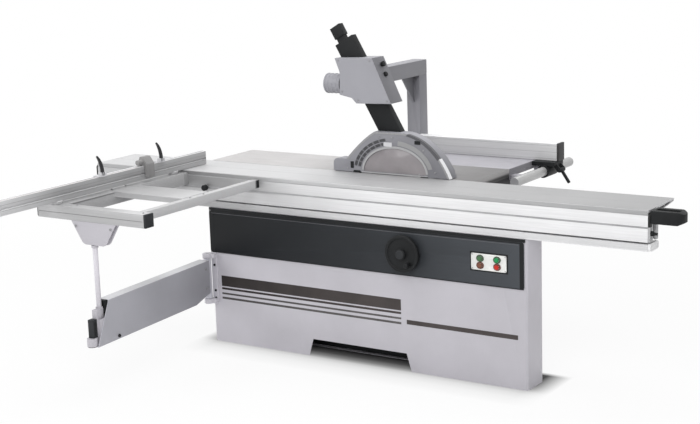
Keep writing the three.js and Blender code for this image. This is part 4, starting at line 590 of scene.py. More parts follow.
def make_trim_finishes(colours, arm):
    """Finishes of the pieces that dress the solids."""
    metal = colours.aluminium
    add("gusset_paint", painted, toned(arm, 0.48))
    # Dark paint of the strip along the hood's shoulder: painted shade
    add("shoulder_paint", painted, toned(arm, 0.3))
    add("cover_paint", painted, toned(arm, 1.04))
    add("rim_paint", painted, toned(metal, 0.55))
    add("arc_paint", painted, toned(metal, 0.42))
    # Paint of the panel's painted highlight line
    add("panel_line", painted, (0.11, 0.11, 0.12))
    add("pale_edge", painted, (0.66, 0.66, 0.68), wear=1.1)
    # Paints of the band behind the dust slots and of the slots: painted shade
    add("slot_back", moulded, (0.17, 0.17, 0.18), wear=1.4)
    add("slot_shade", moulded, (0.075, 0.075, 0.08), wear=1.4)
    add("stripe_foil", moulded, (0.036, 0.031, 0.03), wear=1.5)
    add("pale_stripe_foil", moulded, (0.08, 0.076, 0.075), wear=1.5)
    add("scale_foil", moulded, (0.78, 0.74, 0.74), roughness=0.35, wear=1.1)
    add("dark_fastener", moulded, (0.02, 0.02, 0.022), roughness=0.35)
    add("bezel_green", moulded, (0.06, 0.10, 0.06), roughness=0.35)
    add("bezel_red", moulded, (0.16, 0.06, 0.045), roughness=0.35)
    # Paint of the dark strips at the table's grooves: painted shade
    add("groove_strip", moulded, (0.4, 0.4, 0.41), wear=1.1)
    add("top_line", drawn_metal, toned(metal, 0.5))
    add("soft_line", drawn_metal, toned(metal, 0.32))
    grey, bright = (0.4, 0.4, 0.41), (0.9, 0.9, 0.92)
    add("fastener", drawn_metal, grey, stretch=ALONG_Z, roughness=0.3, metallic=0.6)
    # Bright metal of the strip along the hood's tip: a painted highlight
    add("tip_metal", drawn_metal, bright, stretch=ALONG_Z, roughness=0.25, metallic=0.4)


def make_finishes(colours):
    """All the finishes, from the colours that a user can change."""
    paint = toned(colours.sheet_paint, (1.02, 0.975, 1.03))
    arm = toned(colours.arm_paint, (1.02, 0.96, 0.99))
    make_slot_finishes(colours, paint, arm)
    make_node_finishes(colours, paint, arm)
    make_trim_finishes(colours, arm)


# Mesh making

# For each axis: the two coordinates across it, then the one along it
AXES = {"x": (1, 2, 0), "y": (0, 2, 1), "z": (0, 1, 2)}
RING_STEPS = 40
WELD_DISTANCE = 1e-7
# Edges that turn by more than this, in radians, stay sharp or are rounded
SHARP_ANGLE = 0.6


def point(axis, a, b, height):
    """Point from two places across an axis and one along it."""
    first, second, third = AXES[axis]
    made = [0.0, 0.0, 0.0]
    made[first] = a
    made[second] = b
    made[third] = height
    return Vector(made)


class Form:
    """A mesh under construction, in metres in the part's frame."""

    def __init__(self):
        self.mesh = bmesh.new()

    def prism(self, outline, axis, low, high):
        """Closed prism of an outline across an axis."""
        rings = [
            [self.mesh.verts.new(point(axis, a, b, height)) for a, b in outline]
            for height in (low, high)
        ]
        self.mesh.faces.new(rings[0][::-1])
        self.mesh.faces.new(rings[1])
        count = len(outline)
        for i in range(count):
            j = (i + 1) % count
            self.mesh.faces.new((rings[0][i], rings[0][j], rings[1][j], rings[1][i]))
        return self

    def plate(self, low, high, radius, axis, bottom, top, steps=5):
        """Plate with round corners across an axis."""
        return self.prism(rounded(low, high, radius, steps), axis, bottom, top)

    def blocks(self, *corners):
        """Rectangular blocks, each between two corners."""
        for low, high in corners:
            outline = ((low[0], low[1]), (high[0], low[1]), (high[0], high[1]), (low[0], high[1]))
            self.prism(outline, "z", low[2], high[2])
        return self

    def ring(self, inner, outer, low, high, axis, centre):
        """Flat ring."""
        profile = ((inner, low), (outer, low), (outer, high), (inner, high), (inner, low))
        self.turned(profile, axis, centre, RING_STEPS)
        bmesh.ops.remove_doubles(self.mesh, verts=self.mesh.verts, dist=WELD_DISTANCE)
        return self

    def turned(self, profile, axis, centre, steps=32):
        """Closed turned piece; a profile row is (radius, height, hexagonal or not)."""
        rings = []
        for row in profile:
            radius, height = row[0], row[1]
            hexagonal = len(row) > 2 and row[2]
            ring = []
            if radius == 0:
                ring = [self.mesh.verts.new(point(axis, centre[0], centre[1], height))]
            else:
                for i in range(steps):
                    angle = math.tau * i / steps
                    reach = radius
                    if hexagonal:
                        sixth = math.tau / 6
                        reach = radius * math.cos(sixth / 2) / math.cos(angle % sixth - sixth / 2)
                    a = centre[0] + reach * math.cos(angle)
                    b = centre[1] + reach * math.sin(angle)
                    ring.append(self.mesh.verts.new(point(axis, a, b, height)))
            rings.append(ring)
        for first, second in zip(rings, rings[1:]):
            for i in range(steps):
                j = (i + 1) % steps
                if len(first) == 1:
                    self.mesh.faces.new((first[0], second[j], second[i]))
                elif len(second) == 1:
                    self.mesh.faces.new((first[i], first[j], second[0]))
                else:
                    self.mesh.faces.new((first[i], first[j], second[j], second[i]))
        return self

    def turn(self, matrix):
        """Moves everything made so far."""
        bmesh.ops.transform(self.mesh, matrix=matrix, verts=self.mesh.verts)
        return self

    def piece(self, name, body, slot, tone=None, rounding=0.0):
        """The mesh as an object that rides on a body, in the slot's finish or a named one."""
        bmesh.ops.recalc_face_normals(self.mesh, faces=self.mesh.faces)
        mesh = bpy.data.meshes.new(name)
        self.mesh.to_mesh(mesh)
        self.mesh.free()
        made = bpy.data.objects.new(name, mesh)
        bpy.context.scene.collection.objects.link(made)
        mesh.materials.append(FINISHES[tone or slot])
        soften(made, rounding)
        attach(made, body)


def soften(piece, rounding):
    """Smooth shading with broken edges, or sharp ones where nothing is rounded."""
    for face in piece.data.polygons:
        face.use_smooth = True
    if rounding > 0:
        bevel = piece.modifiers.new("broken edges", "BEVEL")
        bevel.width = rounding
        bevel.segments = 2
        bevel.limit_method = "ANGLE"
        bevel.angle_limit = SHARP_ANGLE
        bevel.harden_normals = True
        bevel.use_clamp_overlap = True
    else:
        piece.data.set_sharp_from_angle(angle=SHARP_ANGLE)


SCREW_HEIGHT = 0.8
SCREW_SHOULDER = 0.8
SCREW_TOP = 0.88
SOCKET_WIDTH = 0.55
SOCKET_FLOOR = 0.35
SCREW_STEPS = 24


def cap_screw(form, axis, centre, seat, radius, out):
    """Cap screw head with a hexagon socket; out is the way that it faces."""
    height = radius * SCREW_HEIGHT * out
    socket = radius * SOCKET_WIDTH
    floor = seat + height * SOCKET_FLOOR
    profile = (
        (0, seat),
        (radius, seat),
        (radius, seat + height * SCREW_SHOULDER),
        (radius * SCREW_TOP, seat + height),
        (socket, seat + height, True),
        (socket, floor, True),
        (0, floor),
    )
    form.turned(profile, axis, centre, SCREW_STEPS)


# Operators


class SawStep:
    """What the saw's operators share."""

    bl_options = {"REGISTER", "UNDO"}

    @property
    def sizes(self):
        return bpy.context.scene.panel_saw_sizes

    @property
    def colours(self):
        return bpy.context.scene.panel_saw_colours


CAMERA_PLACE = (3.715, -6.13, 2.17)
CAMERA_AZIMUTH = 33.14
CAMERA_ELEVATION = 11.67
CAMERA_ROLL = -1.86
CAMERA_LENS = 75.446
SENSOR = 36.0
# Distances from the saw between which the floor's own light takes over
GLOW_REACH = (1.6, 4.2)
GLOW_NEAR = 0.88
FLOOR_REACH = 40.0
# Distances before the cabinet's axis, in metres, over which the floor's painted shadow gets
# lighter again
CONTACT_REACH = (0.24, 0.60)
CONTACT_SHADE = tuple(
    (place, (tone, tone, tone))
    for place, tone in (
        (0.0, 0.004), (0.17, 0.05), (0.30, 0.2), (0.38, 0.42), (0.42, 0.6),
        (0.53, 0.78), (0.7, 0.9), (1.0, 1.0),
    )
)
# Where the shade begins behind the front, and where it ends beside the cabinet
CONTACT_BACK = (0.10, 0.14)
CONTACT_SIDE = (-1.0, -0.88)
ROOM_LIGHT = 0.5
LAMP_AIM = Vector((0.0, -0.3, 0.7))
# Name, place, size in metres and power in watts
LAMPS = (
    ("key", (2.5, -5.5, 5.0), 4.0, 170.0),
    ("fill", (-5.0, -4.0, 3.5), 4.0, 110.0),
    ("top", (0.0, 1.0, 6.0), 5.0, 150.0),
)


class SCENE_OT_panel_saw_stage(SawStep, bpy.types.Operator):
    """Floor, lamps, world and the camera at the photograph's place"""

    bl_idname = "scene.panel_saw_stage"
    bl_label = "Stage"

    def execute(self, context):
        self.make_camera()
        self.make_floor()
        self.make_world()
        self.make_lamps()
        context.scene.view_settings.view_transform = "Standard"
        return {"FINISHED"}

    def make_camera(self):
        azimuth, elevation, roll = (
            math.radians(angle)
            for angle in (CAMERA_AZIMUTH, CAMERA_ELEVATION, CAMERA_ROLL)
        )
        ahead = Vector(
            (
                -math.sin(azimuth) * math.cos(elevation),
                math.cos(azimuth) * math.cos(elevation),
                -math.sin(elevation),
            )
        )
        right = Vector((math.cos(azimuth), math.sin(azimuth), 0.0))
        above = right.cross(ahead)
        rolled_right = right * math.cos(roll) + above * math.sin(roll)
        rolled_above = above * math.cos(roll) - right * math.sin(roll)
        matrix = Matrix((rolled_right, rolled_above, -ahead)).transposed().to_4x4()
        matrix.translation = Vector(CAMERA_PLACE)
        lens = bpy.data.cameras.new("photo camera")
        lens.sensor_width = SENSOR
        lens.lens = CAMERA_LENS
        lens.clip_end = 200.0
        camera = bpy.data.objects.new("photo camera", lens)
        camera.matrix_world = matrix
        bpy.context.scene.collection.objects.link(camera)
        bpy.context.scene.camera = camera

    def make_floor(self):
        kit = Finish("studio_floor", bpy.data.materials.new("studio_floor"))
        far = kit.node(
            "ShaderNodeVectorMath",
            {"operation": "LENGTH"},
            {0: kit.node("ShaderNodeTexCoord", output="Object")},
            output="Value",
        )
        more = (1.0 - GLOW_NEAR) * kit.band(far, *GLOW_REACH)
        share = self.seen_directly(kit) * (GLOW_NEAR + more)
        diffuse = kit.node(
            "ShaderNodeBsdfDiffuse", None, {"Color": tuple(self.colours.floor)}
        )
        glow = kit.node(
            "ShaderNodeEmission", None, {"Color": self.floor_glow(kit), "Strength": 1.0}
        )
        mixed = kit.node(
            "ShaderNodeMixShader", None, {0: share, 1: diffuse, 2: glow}
        )
        kit.close(mixed)
        form = bmesh.new()
        corners = [
            form.verts.new((x * FLOOR_REACH, y * FLOOR_REACH, 0.0))
            for x, y in ((-1, -1), (1, -1), (1, 1), (-1, 1))
        ]
        form.faces.new(corners)
        mesh = bpy.data.meshes.new("studio_floor")
        form.to_mesh(mesh)
        form.free()
        floor = bpy.data.objects.new("studio_floor", mesh)
        mesh.materials.append(kit.material)
        bpy.context.scene.collection.objects.link(floor)

    @staticmethod
    def floor_glow(kit):
        """White floor with a painted shadow under and just before the cabinet's front."""
        along = kit.part_of("x")
        before = 0.0 - kit.part_of("y")
        beside = kit.band(along, *CONTACT_SIDE) * kit.band(0.0 - along, *CONTACT_SIDE)
        painted_shadow = kit.node(
            "ShaderNodeValToRGB",
            {"stops": CONTACT_SHADE},
            {"Fac": kit.band(before, *CONTACT_REACH)},
        )
        return kit.mix(beside * kit.band(before, *CONTACT_BACK), (1.0, 1.0, 1.0), painted_shadow)

    @staticmethod
    def seen_directly(kit):
        """1 for camera, glossy and transmission rays."""
        seen = kit.node("ShaderNodeLightPath", output="Is Camera Ray")
        glossy = kit.node("ShaderNodeLightPath", output="Is Glossy Ray")
        through = kit.node("ShaderNodeLightPath", output="Is Transmission Ray")
        return kit.node(
            "ShaderNodeMath",
            {"operation": "ADD", "use_clamp": True},
            {0: seen + glossy, 1: through},
        )

    def make_world(self):
        world = bpy.data.worlds.new("studio")
        kit = Finish("studio", world)
        share = self.seen_directly(kit)
        room = kit.node(
            "ShaderNodeBackground", None, {"Color": (1, 1, 1), "Strength": ROOM_LIGHT}
        )
        white = kit.node("ShaderNodeBackground", None, {"Color": (1, 1, 1), "Strength": 1.0})
        mixed = kit.node("ShaderNodeMixShader", None, {0: share, 1: room, 2: white})
        kit.close(mixed, "ShaderNodeOutputWorld")
        bpy.context.scene.world = world

    def make_lamps(self):
        for name, place, size, power in LAMPS:
            data = bpy.data.lights.new(name, "AREA")
            data.shape = "SQUARE"
            data.size = size
            data.energy = power
            made = bpy.data.objects.new(name, data)
            made.location = place
            aim = LAMP_AIM - Vector(place)
            made.rotation_mode = "QUATERNION"
            made.rotation_quaternion = aim.to_track_quat("-Z", "Y")
            bpy.context.scene.collection.objects.link(made)


FACET_WELD = 0.00002
FLAT_TURN = math.radians(0.3)


class OBJECT_OT_panel_saw_finishes(SawStep, bpy.types.Operator):
    """Finishes of the solids, with broken edges"""

    bl_idname = "object.panel_saw_finishes"
    bl_label = "Finishes of the solids"

    def execute(self, context):
        make_finishes(self.colours)
        for node in frame["nodes"].values():
            slot = node.data.materials[0].name.split(".")[0]
            node.data.materials[0] = FINISHES[NODE_FINISHES.get(node.name, slot)]
            self.clean(node)
        return {"FINISHED"}

    def clean(self, node):
        """Welds the facets, drops flat edges and breaks the sharp ones."""
        weld = node.modifiers.new("weld", "WELD")
        weld.merge_threshold = FACET_WELD
        flat = node.modifiers.new("flat faces", "DECIMATE")
        flat.decimate_type = "DISSOLVE"
        flat.angle_limit = FLAT_TURN
        soften(node, self.sizes.edge_round)


# Places on the solids, in metres

HOUSING_FRONT = -0.38
HOUSING_SIDE = 0.895
TOE_FRONT = -0.2306
PANEL_FRONT = -0.385
SWITCH_PLATE_FRONT = -0.388
TABLE_TOP = 0.885
OUTRIGGER_TOP = 0.875
FENCE_TOP = 0.955
HOOD_FACE = -0.09
HOUSING_FACE = -0.1099
CABINET_BACK = 0.38
ARM_HINGE = Vector((-0.9, -0.412, 0.0))
ARM_ANGLE = math.radians(-86.0)
CLAMP_KNOB_SEAT = (-0.0463, 1.42)
LEAN_TURN = math.atan2(-0.9049, 0.4256)


def arm_frame():
    """From places along and across the swinging arm to the part's frame."""
    return Matrix.Translation(ARM_HINGE) @ Matrix.Rotation(ARM_ANGLE, 4, "Z")


def lean_frame(y):
    """Along, across and out of the housing's leaning side, from its clamp knob."""
    across, height = CLAMP_KNOB_SEAT
    return Matrix.Translation((across, y, height)) @ Matrix.Rotation(-LEAN_TURN, 4, "Y")


def arc(centre, radii, start, end, steps=28):
    """Points on an ellipse between two angles in degrees."""
    made = []
    for i in range(steps + 1):
        angle = math.radians(start + (end - start) * i / steps)
        made.append(
            (centre[0] + radii[0] * math.cos(angle), centre[1] + radii[1] * math.sin(angle))
        )
    return made


def arc_band(centre, inner, outer, start, end, steps=28):
    """Outline of a curved band."""
    return arc(centre, outer, start, end, steps) + arc(centre, inner, end, start, steps)


def rounded(low, high, radius, steps=5):
    """Outline of a rectangle with round corners."""
    corners = (
        ((high[0] - radius, high[1] - radius), 0),
        ((low[0] + radius, high[1] - radius), 90),
        ((low[0] + radius, low[1] + radius), 180),
        ((high[0] - radius, low[1] + radius), 270),
    )
    made = []
    for centre, start in corners:
        made += arc(centre, (radius, radius), start, start + 90, steps)
    return made


def scaled_outline(outline, centre, share):
    """The outline drawn in towards a point."""
    return [
        (centre[0] + (a - centre[0]) * share, centre[1] + (b - centre[1]) * share)
        for a, b in outline
    ]


def shifted(outline, across, up):
    """The outline moved in its plane."""
    return [(a + across, b + up) for a, b in outline]


def seated(places, seat):
    """Places across an axis as screw places on one seat."""
    return [(a, b, seat) for a, b in places]


def screws(name, body, axis, out, places, share, tone="fastener"):
    """Cap screws that face out along an axis; a place is (across, across, seat)."""
    form = Form()
    radius = bpy.context.scene.panel_saw_sizes.screw_radius * share
    for a, b, seat in places:
        cap_screw(form, axis, (a, b), seat, radius, out)
    form.piece(name, body, "steel", tone)


STRIPE_SPAN = (-0.838, 0.232)
UNDERLINE_SPAN = (0.262, 0.847)
STRIPE_ROWS = (
    ("housing_stripe_wide", "stripe_foil", STRIPE_SPAN, ((0.297, 0.352),)),
    ("housing_stripe_upper", "stripe_foil", STRIPE_SPAN, ((0.279, 0.290),)),
    ("housing_stripes_lower", "pale_stripe_foil", STRIPE_SPAN,
     ((0.2535, 0.263), (0.229, 0.240))),
    ("housing_underline", "stripe_foil", UNDERLINE_SPAN, ((0.234, 0.256),)),
)
STRIPE_CORNER = 0.0015
# The black sheet at the back of the toe recess is painted shade
TOE_SHADE_SHEET = ((-0.69, 0.012), (0.45, 0.118))
TOE_CORNER = 0.006
TOE_THICKNESS = 0.0016
RIVET_PLACES = ((-0.245, 0.06), (-0.245, 0.64))
RIVET_RADIUS = 0.006
RIVET_HEIGHT = 0.0003
FOOT_PLACES = [(x, -0.262) for x in (-0.84, -0.42, 0.42, 0.84)]
FOOT_PROFILE = (
    (0, 0.0006), (0.022, 0.0006), (0.024, 0.003), (0.024, 0.007), (0.009, 0.009), (0.009, 0.03),
    (0, 0.03),
)


class OBJECT_OT_panel_saw_housing_trim(SawStep, bpy.types.Operator):
    """Stripes, a black sheet of painted shade in the toe recess, rivets and feet of the front
    housing
    """

    bl_idname = "object.panel_saw_housing_trim"
    bl_label = "Front housing trim"

    def execute(self, context):
        face = HOUSING_FRONT - self.sizes.stripe_lift
        for name, tone, (left, right), rows in STRIPE_ROWS:
            form = Form()
            for low, high in rows:
                form.plate(
                    (left, low), (right, high), STRIPE_CORNER, "y", face, HOUSING_FRONT, 3
                )
            form.piece(name, "frame", "dark_paint", tone)
        # The back of the toe recess is a black sheet: painted shade
        form = Form().plate(*TOE_SHADE_SHEET, TOE_CORNER, "y", TOE_FRONT - TOE_THICKNESS, TOE_FRONT)
        form.piece("toe_recess_shade", "frame", "black_plastic", rounding=0.0004)
        form = Form()
        for side in (-1, 1):
            low, high = sorted((side * HOUSING_SIDE, side * (HOUSING_SIDE + RIVET_HEIGHT)))
            for place in RIVET_PLACES:
                disc = arc(place, (RIVET_RADIUS, RIVET_RADIUS), 0, 345, 23)
                form.prism(disc, "x", low, high)
        form.piece("housing_rivets", "frame", "light_paint", "bracket_paint")
        form = Form()
        for place in FOOT_PLACES:
            form.turned(FOOT_PROFILE, "z", place)
        form.piece("levelling_feet", "frame", "black_plastic", rounding=0.0004)
        return {"FINISHED"}


PANEL_LOW = (-0.894, 0.4725)
PANEL_HIGH = (0.8805, 0.6895)
PANEL_BAND_EDGES = (0.860, 0.4765, 0.683)
PANEL_SHADOW = ((-0.895, -0.3845, 0.6906), (0.887, -0.3803, 0.7052))
# A light line under the panel's top band: a painted highlight
PANEL_HIGHLIGHT = ((-0.88, 0.6765), (0.855, 0.6785))
# Share of the trim's lift that the painted highlight line stands proud
PANEL_HIGHLIGHT_SHARE = 0.6
PANEL_SCREWS = ((-0.872, 0.4855), (-0.872, 0.668))
SWITCH_PLATE = ((0.6095, 0.5365), (0.8025, 0.6275))
SWITCH_PLATE_CORNER = 0.002
# Thickness of the black frame of painted shadow around the switch plate
SHADOW_FRAME_THICKNESS = 0.0006
SWITCH_PLATE_SCREWS = [(x, z) for x in (0.622, 0.790) for z in (0.549, 0.615)]
BUTTON_COLUMNS = (0.663, 0.749)
BUTTON_ROWS = (
    ("start_button_bezels", "bezel_green", 0.5985),
    ("stop_button_bezels", "bezel_red", 0.5655),
)
BEZEL_HOLE = (0.0121, 0.0121)
BEZEL_RIM = (0.019, 0.0164)
BEZEL_HEIGHT = 0.0025
HANDWHEEL_AXIS = (0.264, 0.583)
HANDWHEEL_CAP = (
    (0, -0.4349), (0.021, -0.4349), (0.021, -0.4362), (0.0175, -0.4385), (0.0165, -0.4385),
    (0.0165, -0.4378), (0, -0.4374),
)


class OBJECT_OT_panel_saw_control_trim(SawStep, bpy.types.Operator):
    """Shadow band and edge bands of the control panel, its painted highlight line, the painted
    shadow frame of the switch plate, bezels of the buttons and cap of the handwheel
    """

    bl_idname = "object.panel_saw_control_trim"
    bl_label = "Control panel trim"

    def execute(self, context):
        lift = self.sizes.trim_lift
        face = PANEL_FRONT - lift
        (left, low), (right, high) = PANEL_LOW, PANEL_HIGH
        inner_right, inner_low, inner_high = PANEL_BAND_EDGES
        form = Form().blocks(PANEL_SHADOW)
        form.piece("panel_shadow_band", "frame", "black_plastic", rounding=0.0005)
        form = Form().blocks(
            ((inner_right, face, low), (right, PANEL_FRONT, high)),
            ((left, face, low), (inner_right, PANEL_FRONT, inner_low)),
            ((left, face, inner_high), (inner_right, PANEL_FRONT, high)),
        )
        form.piece("panel_edge_bands", "frame", "black_plastic", rounding=0.0002)
        # The painted highlight line
        (line_left, line_low), (line_right, line_high) = PANEL_HIGHLIGHT
        line_face = PANEL_FRONT - lift * PANEL_HIGHLIGHT_SHARE
        form = Form().blocks(
            ((line_left, line_face, line_low), (line_right, PANEL_FRONT, line_high))
        )
        form.piece("panel_painted_highlight", "frame", "grey_plastic", "panel_line")
        # A black frame around the switch plate: painted shadow
        shadow_frame_face = PANEL_FRONT - SHADOW_FRAME_THICKNESS
        form = Form().plate(*SWITCH_PLATE, SWITCH_PLATE_CORNER, "y", shadow_frame_face, PANEL_FRONT)
        form.piece("switch_plate_shadow_frame", "frame", "black_plastic", rounding=0.0002)
        for name, tone, z in BUTTON_ROWS:
            form = Form()
            for x in BUTTON_COLUMNS:
                for start in (-90, 90):
                    outline = arc_band((x, z), BEZEL_HOLE, BEZEL_RIM, start, start + 180)
                    form.prism(
                        outline, "y", SWITCH_PLATE_FRONT - BEZEL_HEIGHT, SWITCH_PLATE_FRONT
                    )
            form.piece(name, "frame", "black_plastic", tone)
        screws(
            "panel_screws", "frame", "y", -1,
            seated(PANEL_SCREWS, PANEL_FRONT), 0.76, "dark_fastener",
        )
        screws(
            "switch_plate_screws", "frame", "y", -1,
            seated(SWITCH_PLATE_SCREWS, SWITCH_PLATE_FRONT), 0.52,
        )
        form = Form().turned(HANDWHEEL_CAP, "y", HANDWHEEL_AXIS)
        form.piece("handwheel_cap", "lift_wheel", "dark_plastic", rounding=0.0003)
        return {"FINISHED"}


TABLE_LEFT = -1.639
TABLE_RIGHT = 1.459
# Dark strips at the grooves of the table's front, painted shade: their depths, then their heights
GROOVE_DEPTHS = (-0.3786, -0.3765)
GROOVE_HEIGHTS = ((0.8622, 0.8658), (0.8055, 0.8125))
TOP_LINES = (-0.3705, -0.2265, -0.0895)
TOP_LINE_HALF_WIDTH = 0.0008
TOP_LINE_INSET = 0.0005
# Share of the trim's lift that the top's lines stand proud
TOP_LINE_SHARE = 0.3
LIP_CAP_REACH = (0.0013, 0.0026)
TABLE_ENDS = (("infeed", 1.4703, 1), ("outfeed", -1.6503, -1))
END_PLATE_SCREWS = ((-0.366, 0.862), (-0.366, 0.762), (-0.299, 0.862), (-0.299, 0.762))
TABLE_LIP = (
    (-0.3805, 0.8745), (-0.2845, 0.8745), (-0.0775, 0.8805), (-0.0775, 0.8848), (-0.3795, 0.8848),
)
RAIL_SCREW = ((0, 0.7058), (0.007, 0.7058), (0.007, 0.7035), (0.0062, 0.7028), (0, 0.7028))
RAIL_SCREW_PLACES = [(x, -0.3595) for x in (-1.2, -0.6, 0.0, 0.6, 1.2)]
INSERT_SCREW = (
    (0, 0.8847), (0.0038, 0.8847), (0.0038, 0.8849), (0.0024, 0.8850), (0.0022, 0.8848),
    (0, 0.8848),
)
INSERT_SCREW_PLACES = [(x, y) for x in (-0.252, 0.304) for y in (-0.0375, -0.0115)]


class OBJECT_OT_panel_saw_table_trim(SawStep, bpy.types.Operator):
    """Dark groove strips of painted shade, lines and screws of the sliding table, its rail and the
    throat insert
    """

    bl_idname = "object.panel_saw_table_trim"
    bl_label = "Sliding table trim"

    def execute(self, context):
        front, back = GROOVE_DEPTHS
        form = Form()
        for low, high in GROOVE_HEIGHTS:
            form.blocks(((TABLE_LEFT, front, low), (TABLE_RIGHT, back, high)))
        form.piece("table_groove_shade_strips", "carriage", "black_plastic", "groove_strip")
        form = Form()
        lift = self.sizes.trim_lift * TOP_LINE_SHARE
        for y in TOP_LINES:
            form.blocks(
                ((TABLE_LEFT + TOP_LINE_INSET, y - TOP_LINE_HALF_WIDTH, TABLE_TOP),
                 (TABLE_RIGHT - TOP_LINE_INSET, y + TOP_LINE_HALF_WIDTH, TABLE_TOP + lift))
            )
        form.piece("table_top_lines", "carriage", "aluminium", "top_line")
        for name, seat, out in TABLE_ENDS:
            places = seated(END_PLATE_SCREWS, seat)
            screws(f"end_plate_screws_{name}", "carriage", "x", out, places, 0.9)
        form = Form().prism(TABLE_LIP, "x", *(TABLE_RIGHT + reach for reach in LIP_CAP_REACH))
        form.piece("table_lip_cap", "carriage", "aluminium", "pale_edge")
        for name, profile, places in (
            ("rail_seat_screws", RAIL_SCREW, RAIL_SCREW_PLACES),
            ("insert_screws", INSERT_SCREW, INSERT_SCREW_PLACES),
        ):
            form = Form()
            for place in places:
                form.turned(profile, "z", place)
            form.piece(name, "frame", "steel", "fastener")
        return {"FINISHED"}


# Dark strips at the outrigger's grooves: painted shade
OUTRIGGER_GROOVE_SHADES = (
    ((-1.020, -1.2562, 0.866), (-0.608, -1.2545, 0.874)),
    ((-1.0218, -1.2540, 0.866), (-1.0205, -0.942, 0.872)),
)
OUTRIGGER_LINES = (
    ((-1.160, -1.3123, 0.841), (-0.530, -1.3119, 0.844)),
    ((-1.1225, -0.4135, 0.843), (-1.0255, -0.4128, 0.846)),
)
CLAMP_EDGE = ((-0.5720, -0.404, 0.831), (-0.5714, -0.3815, 0.869))
OUTFEED_CAP = ((-1.314, 0.8155), (-1.254, 0.8725))
OUTFEED_CAP_CORNER = 0.006
OUTFEED_CAP_FACES = (-1.1668, -1.166)
OUTRIGGER_BOLTS = [
    (-1.15, -1.27, OUTRIGGER_TOP), (-0.955, -1.268, OUTRIGGER_TOP),
    (-0.545, -1.284, OUTRIGGER_TOP), (-1.074, -0.9, OUTRIGGER_TOP),
    (-1.074, -0.8, OUTRIGGER_TOP), (-0.589, -0.9, 0.871), (-0.589, -0.8, 0.871),
]
FENCE_NEAR = -1.7101
FENCE_FAR = -0.1899
FENCE_END = ((-1.0875, 0.8875), (-1.0525, 0.9545))
FENCE_END_CORNER = 0.003
FENCE_CAP_THICKNESS = 0.0017
FENCE_LINE_DEPTHS = (-1.0527, -1.0515)
FENCE_LINE_ENDS = (-1.709, -0.191)
SCALE_LOW = (-1.0655, -1.700)
SCALE_HIGH = (-1.0545, -0.72)
SCALE_THICKNESS = 0.0002
SCALE_EDGE = -1.0548
SCALE_START = -1.695
SCALE_STEP = 0.01
SCALE_MARKS = 97
MARK_HALF_WIDTH = 0.0004
MARK_THICKNESS = 0.0001
# Lengths of a scale's marks: the tenth, the fifth and the others
MARK_REACHES = (0.009, 0.006, 0.004)
FENCE_LINE_HEIGHTS = ((0.9075, 0.9088), (0.9345, 0.9355))
STOP_PIVOTS = (("far", "far_hook", (-0.556, 0.970)), ("near", "near_hook", (-0.99, 0.970)))
STOP_PIVOT = (
    (0, -1.0385), (0.0065, -1.0385), (0.0065, -1.0368), (0.005, -1.036), (0.003, -1.036, True),
    (0.003, -1.037, True), (0, -1.037),
)


class OBJECT_OT_panel_saw_outrigger_trim(SawStep, bpy.types.Operator):
    """Dark groove strips of painted shade, bolts and caps of the outrigger"""

    bl_idname = "object.panel_saw_outrigger_trim"
    bl_label = "Outrigger trim"

    def execute(self, context):
        form = Form().blocks(*OUTRIGGER_GROOVE_SHADES)
        form.piece("outrigger_groove_shade_strips", "carriage", "aluminium", "soft_line")
        form = Form().blocks(*OUTRIGGER_LINES)
        form.piece("outrigger_front_line", "carriage", "aluminium", "soft_line")
        screws("outrigger_bolts", "carriage", "z", 1, OUTRIGGER_BOLTS, 0.9, "clamp_block")
        form = Form().blocks(CLAMP_EDGE)
        form.piece("outrigger_clamp_edge", "carriage", "black_plastic")
        form = Form().plate(*OUTFEED_CAP, OUTFEED_CAP_CORNER, "x", *OUTFEED_CAP_FACES)
        form.piece("outrigger_outfeed_cap", "carriage", "black_plastic", rounding=0.0003)
        return {"FINISHED"}


class OBJECT_OT_panel_saw_crosscut_trim(SawStep, bpy.types.Operator):
    """Scale, lines and caps of the crosscut fence, and the pivots of its hooks"""

    bl_idname = "object.panel_saw_crosscut_trim"
    bl_label = "Crosscut fence trim"

    def execute(self, context):
        foil = FENCE_TOP + SCALE_THICKNESS
        form = Form().blocks(((*SCALE_LOW, FENCE_TOP), (*SCALE_HIGH, foil)))
        form.piece("crosscut_scale", "cross_fence", "white_plastic", "scale_foil")
        form = Form()
        tenth, fifth, other = MARK_REACHES
        for i in range(SCALE_MARKS):
            y = SCALE_START + SCALE_STEP * i
            reach = tenth if i % 10 == 0 else fifth if i % 5 == 0 else other
            form.blocks(
                ((SCALE_EDGE - reach, y - MARK_HALF_WIDTH, foil),
                 (SCALE_EDGE, y + MARK_HALF_WIDTH, foil + MARK_THICKNESS))
            )
        form.piece("crosscut_scale_marks", "cross_fence", "black_plastic")
        form = Form()
        inner, outer = FENCE_LINE_DEPTHS
        near, far = FENCE_LINE_ENDS
        for low, high in FENCE_LINE_HEIGHTS:
            form.blocks(((inner, near, low), (outer, far, high)))
        form.piece("crosscut_face_lines", "cross_fence", "black_plastic", "soft_line")
        form = Form()
        for low in (FENCE_NEAR - FENCE_CAP_THICKNESS, FENCE_FAR):
            form.plate(*FENCE_END, FENCE_END_CORNER, "y", low, low + FENCE_CAP_THICKNESS)
        form.piece("crosscut_end_caps", "cross_fence", "grey_plastic", rounding=0.0004)
        for name, body, place in STOP_PIVOTS:
            form = Form().turned(STOP_PIVOT, "x", place)
            form.piece(f"stop_pivot_{name}", body, "steel", "fastener")
        return {"FINISHED"}


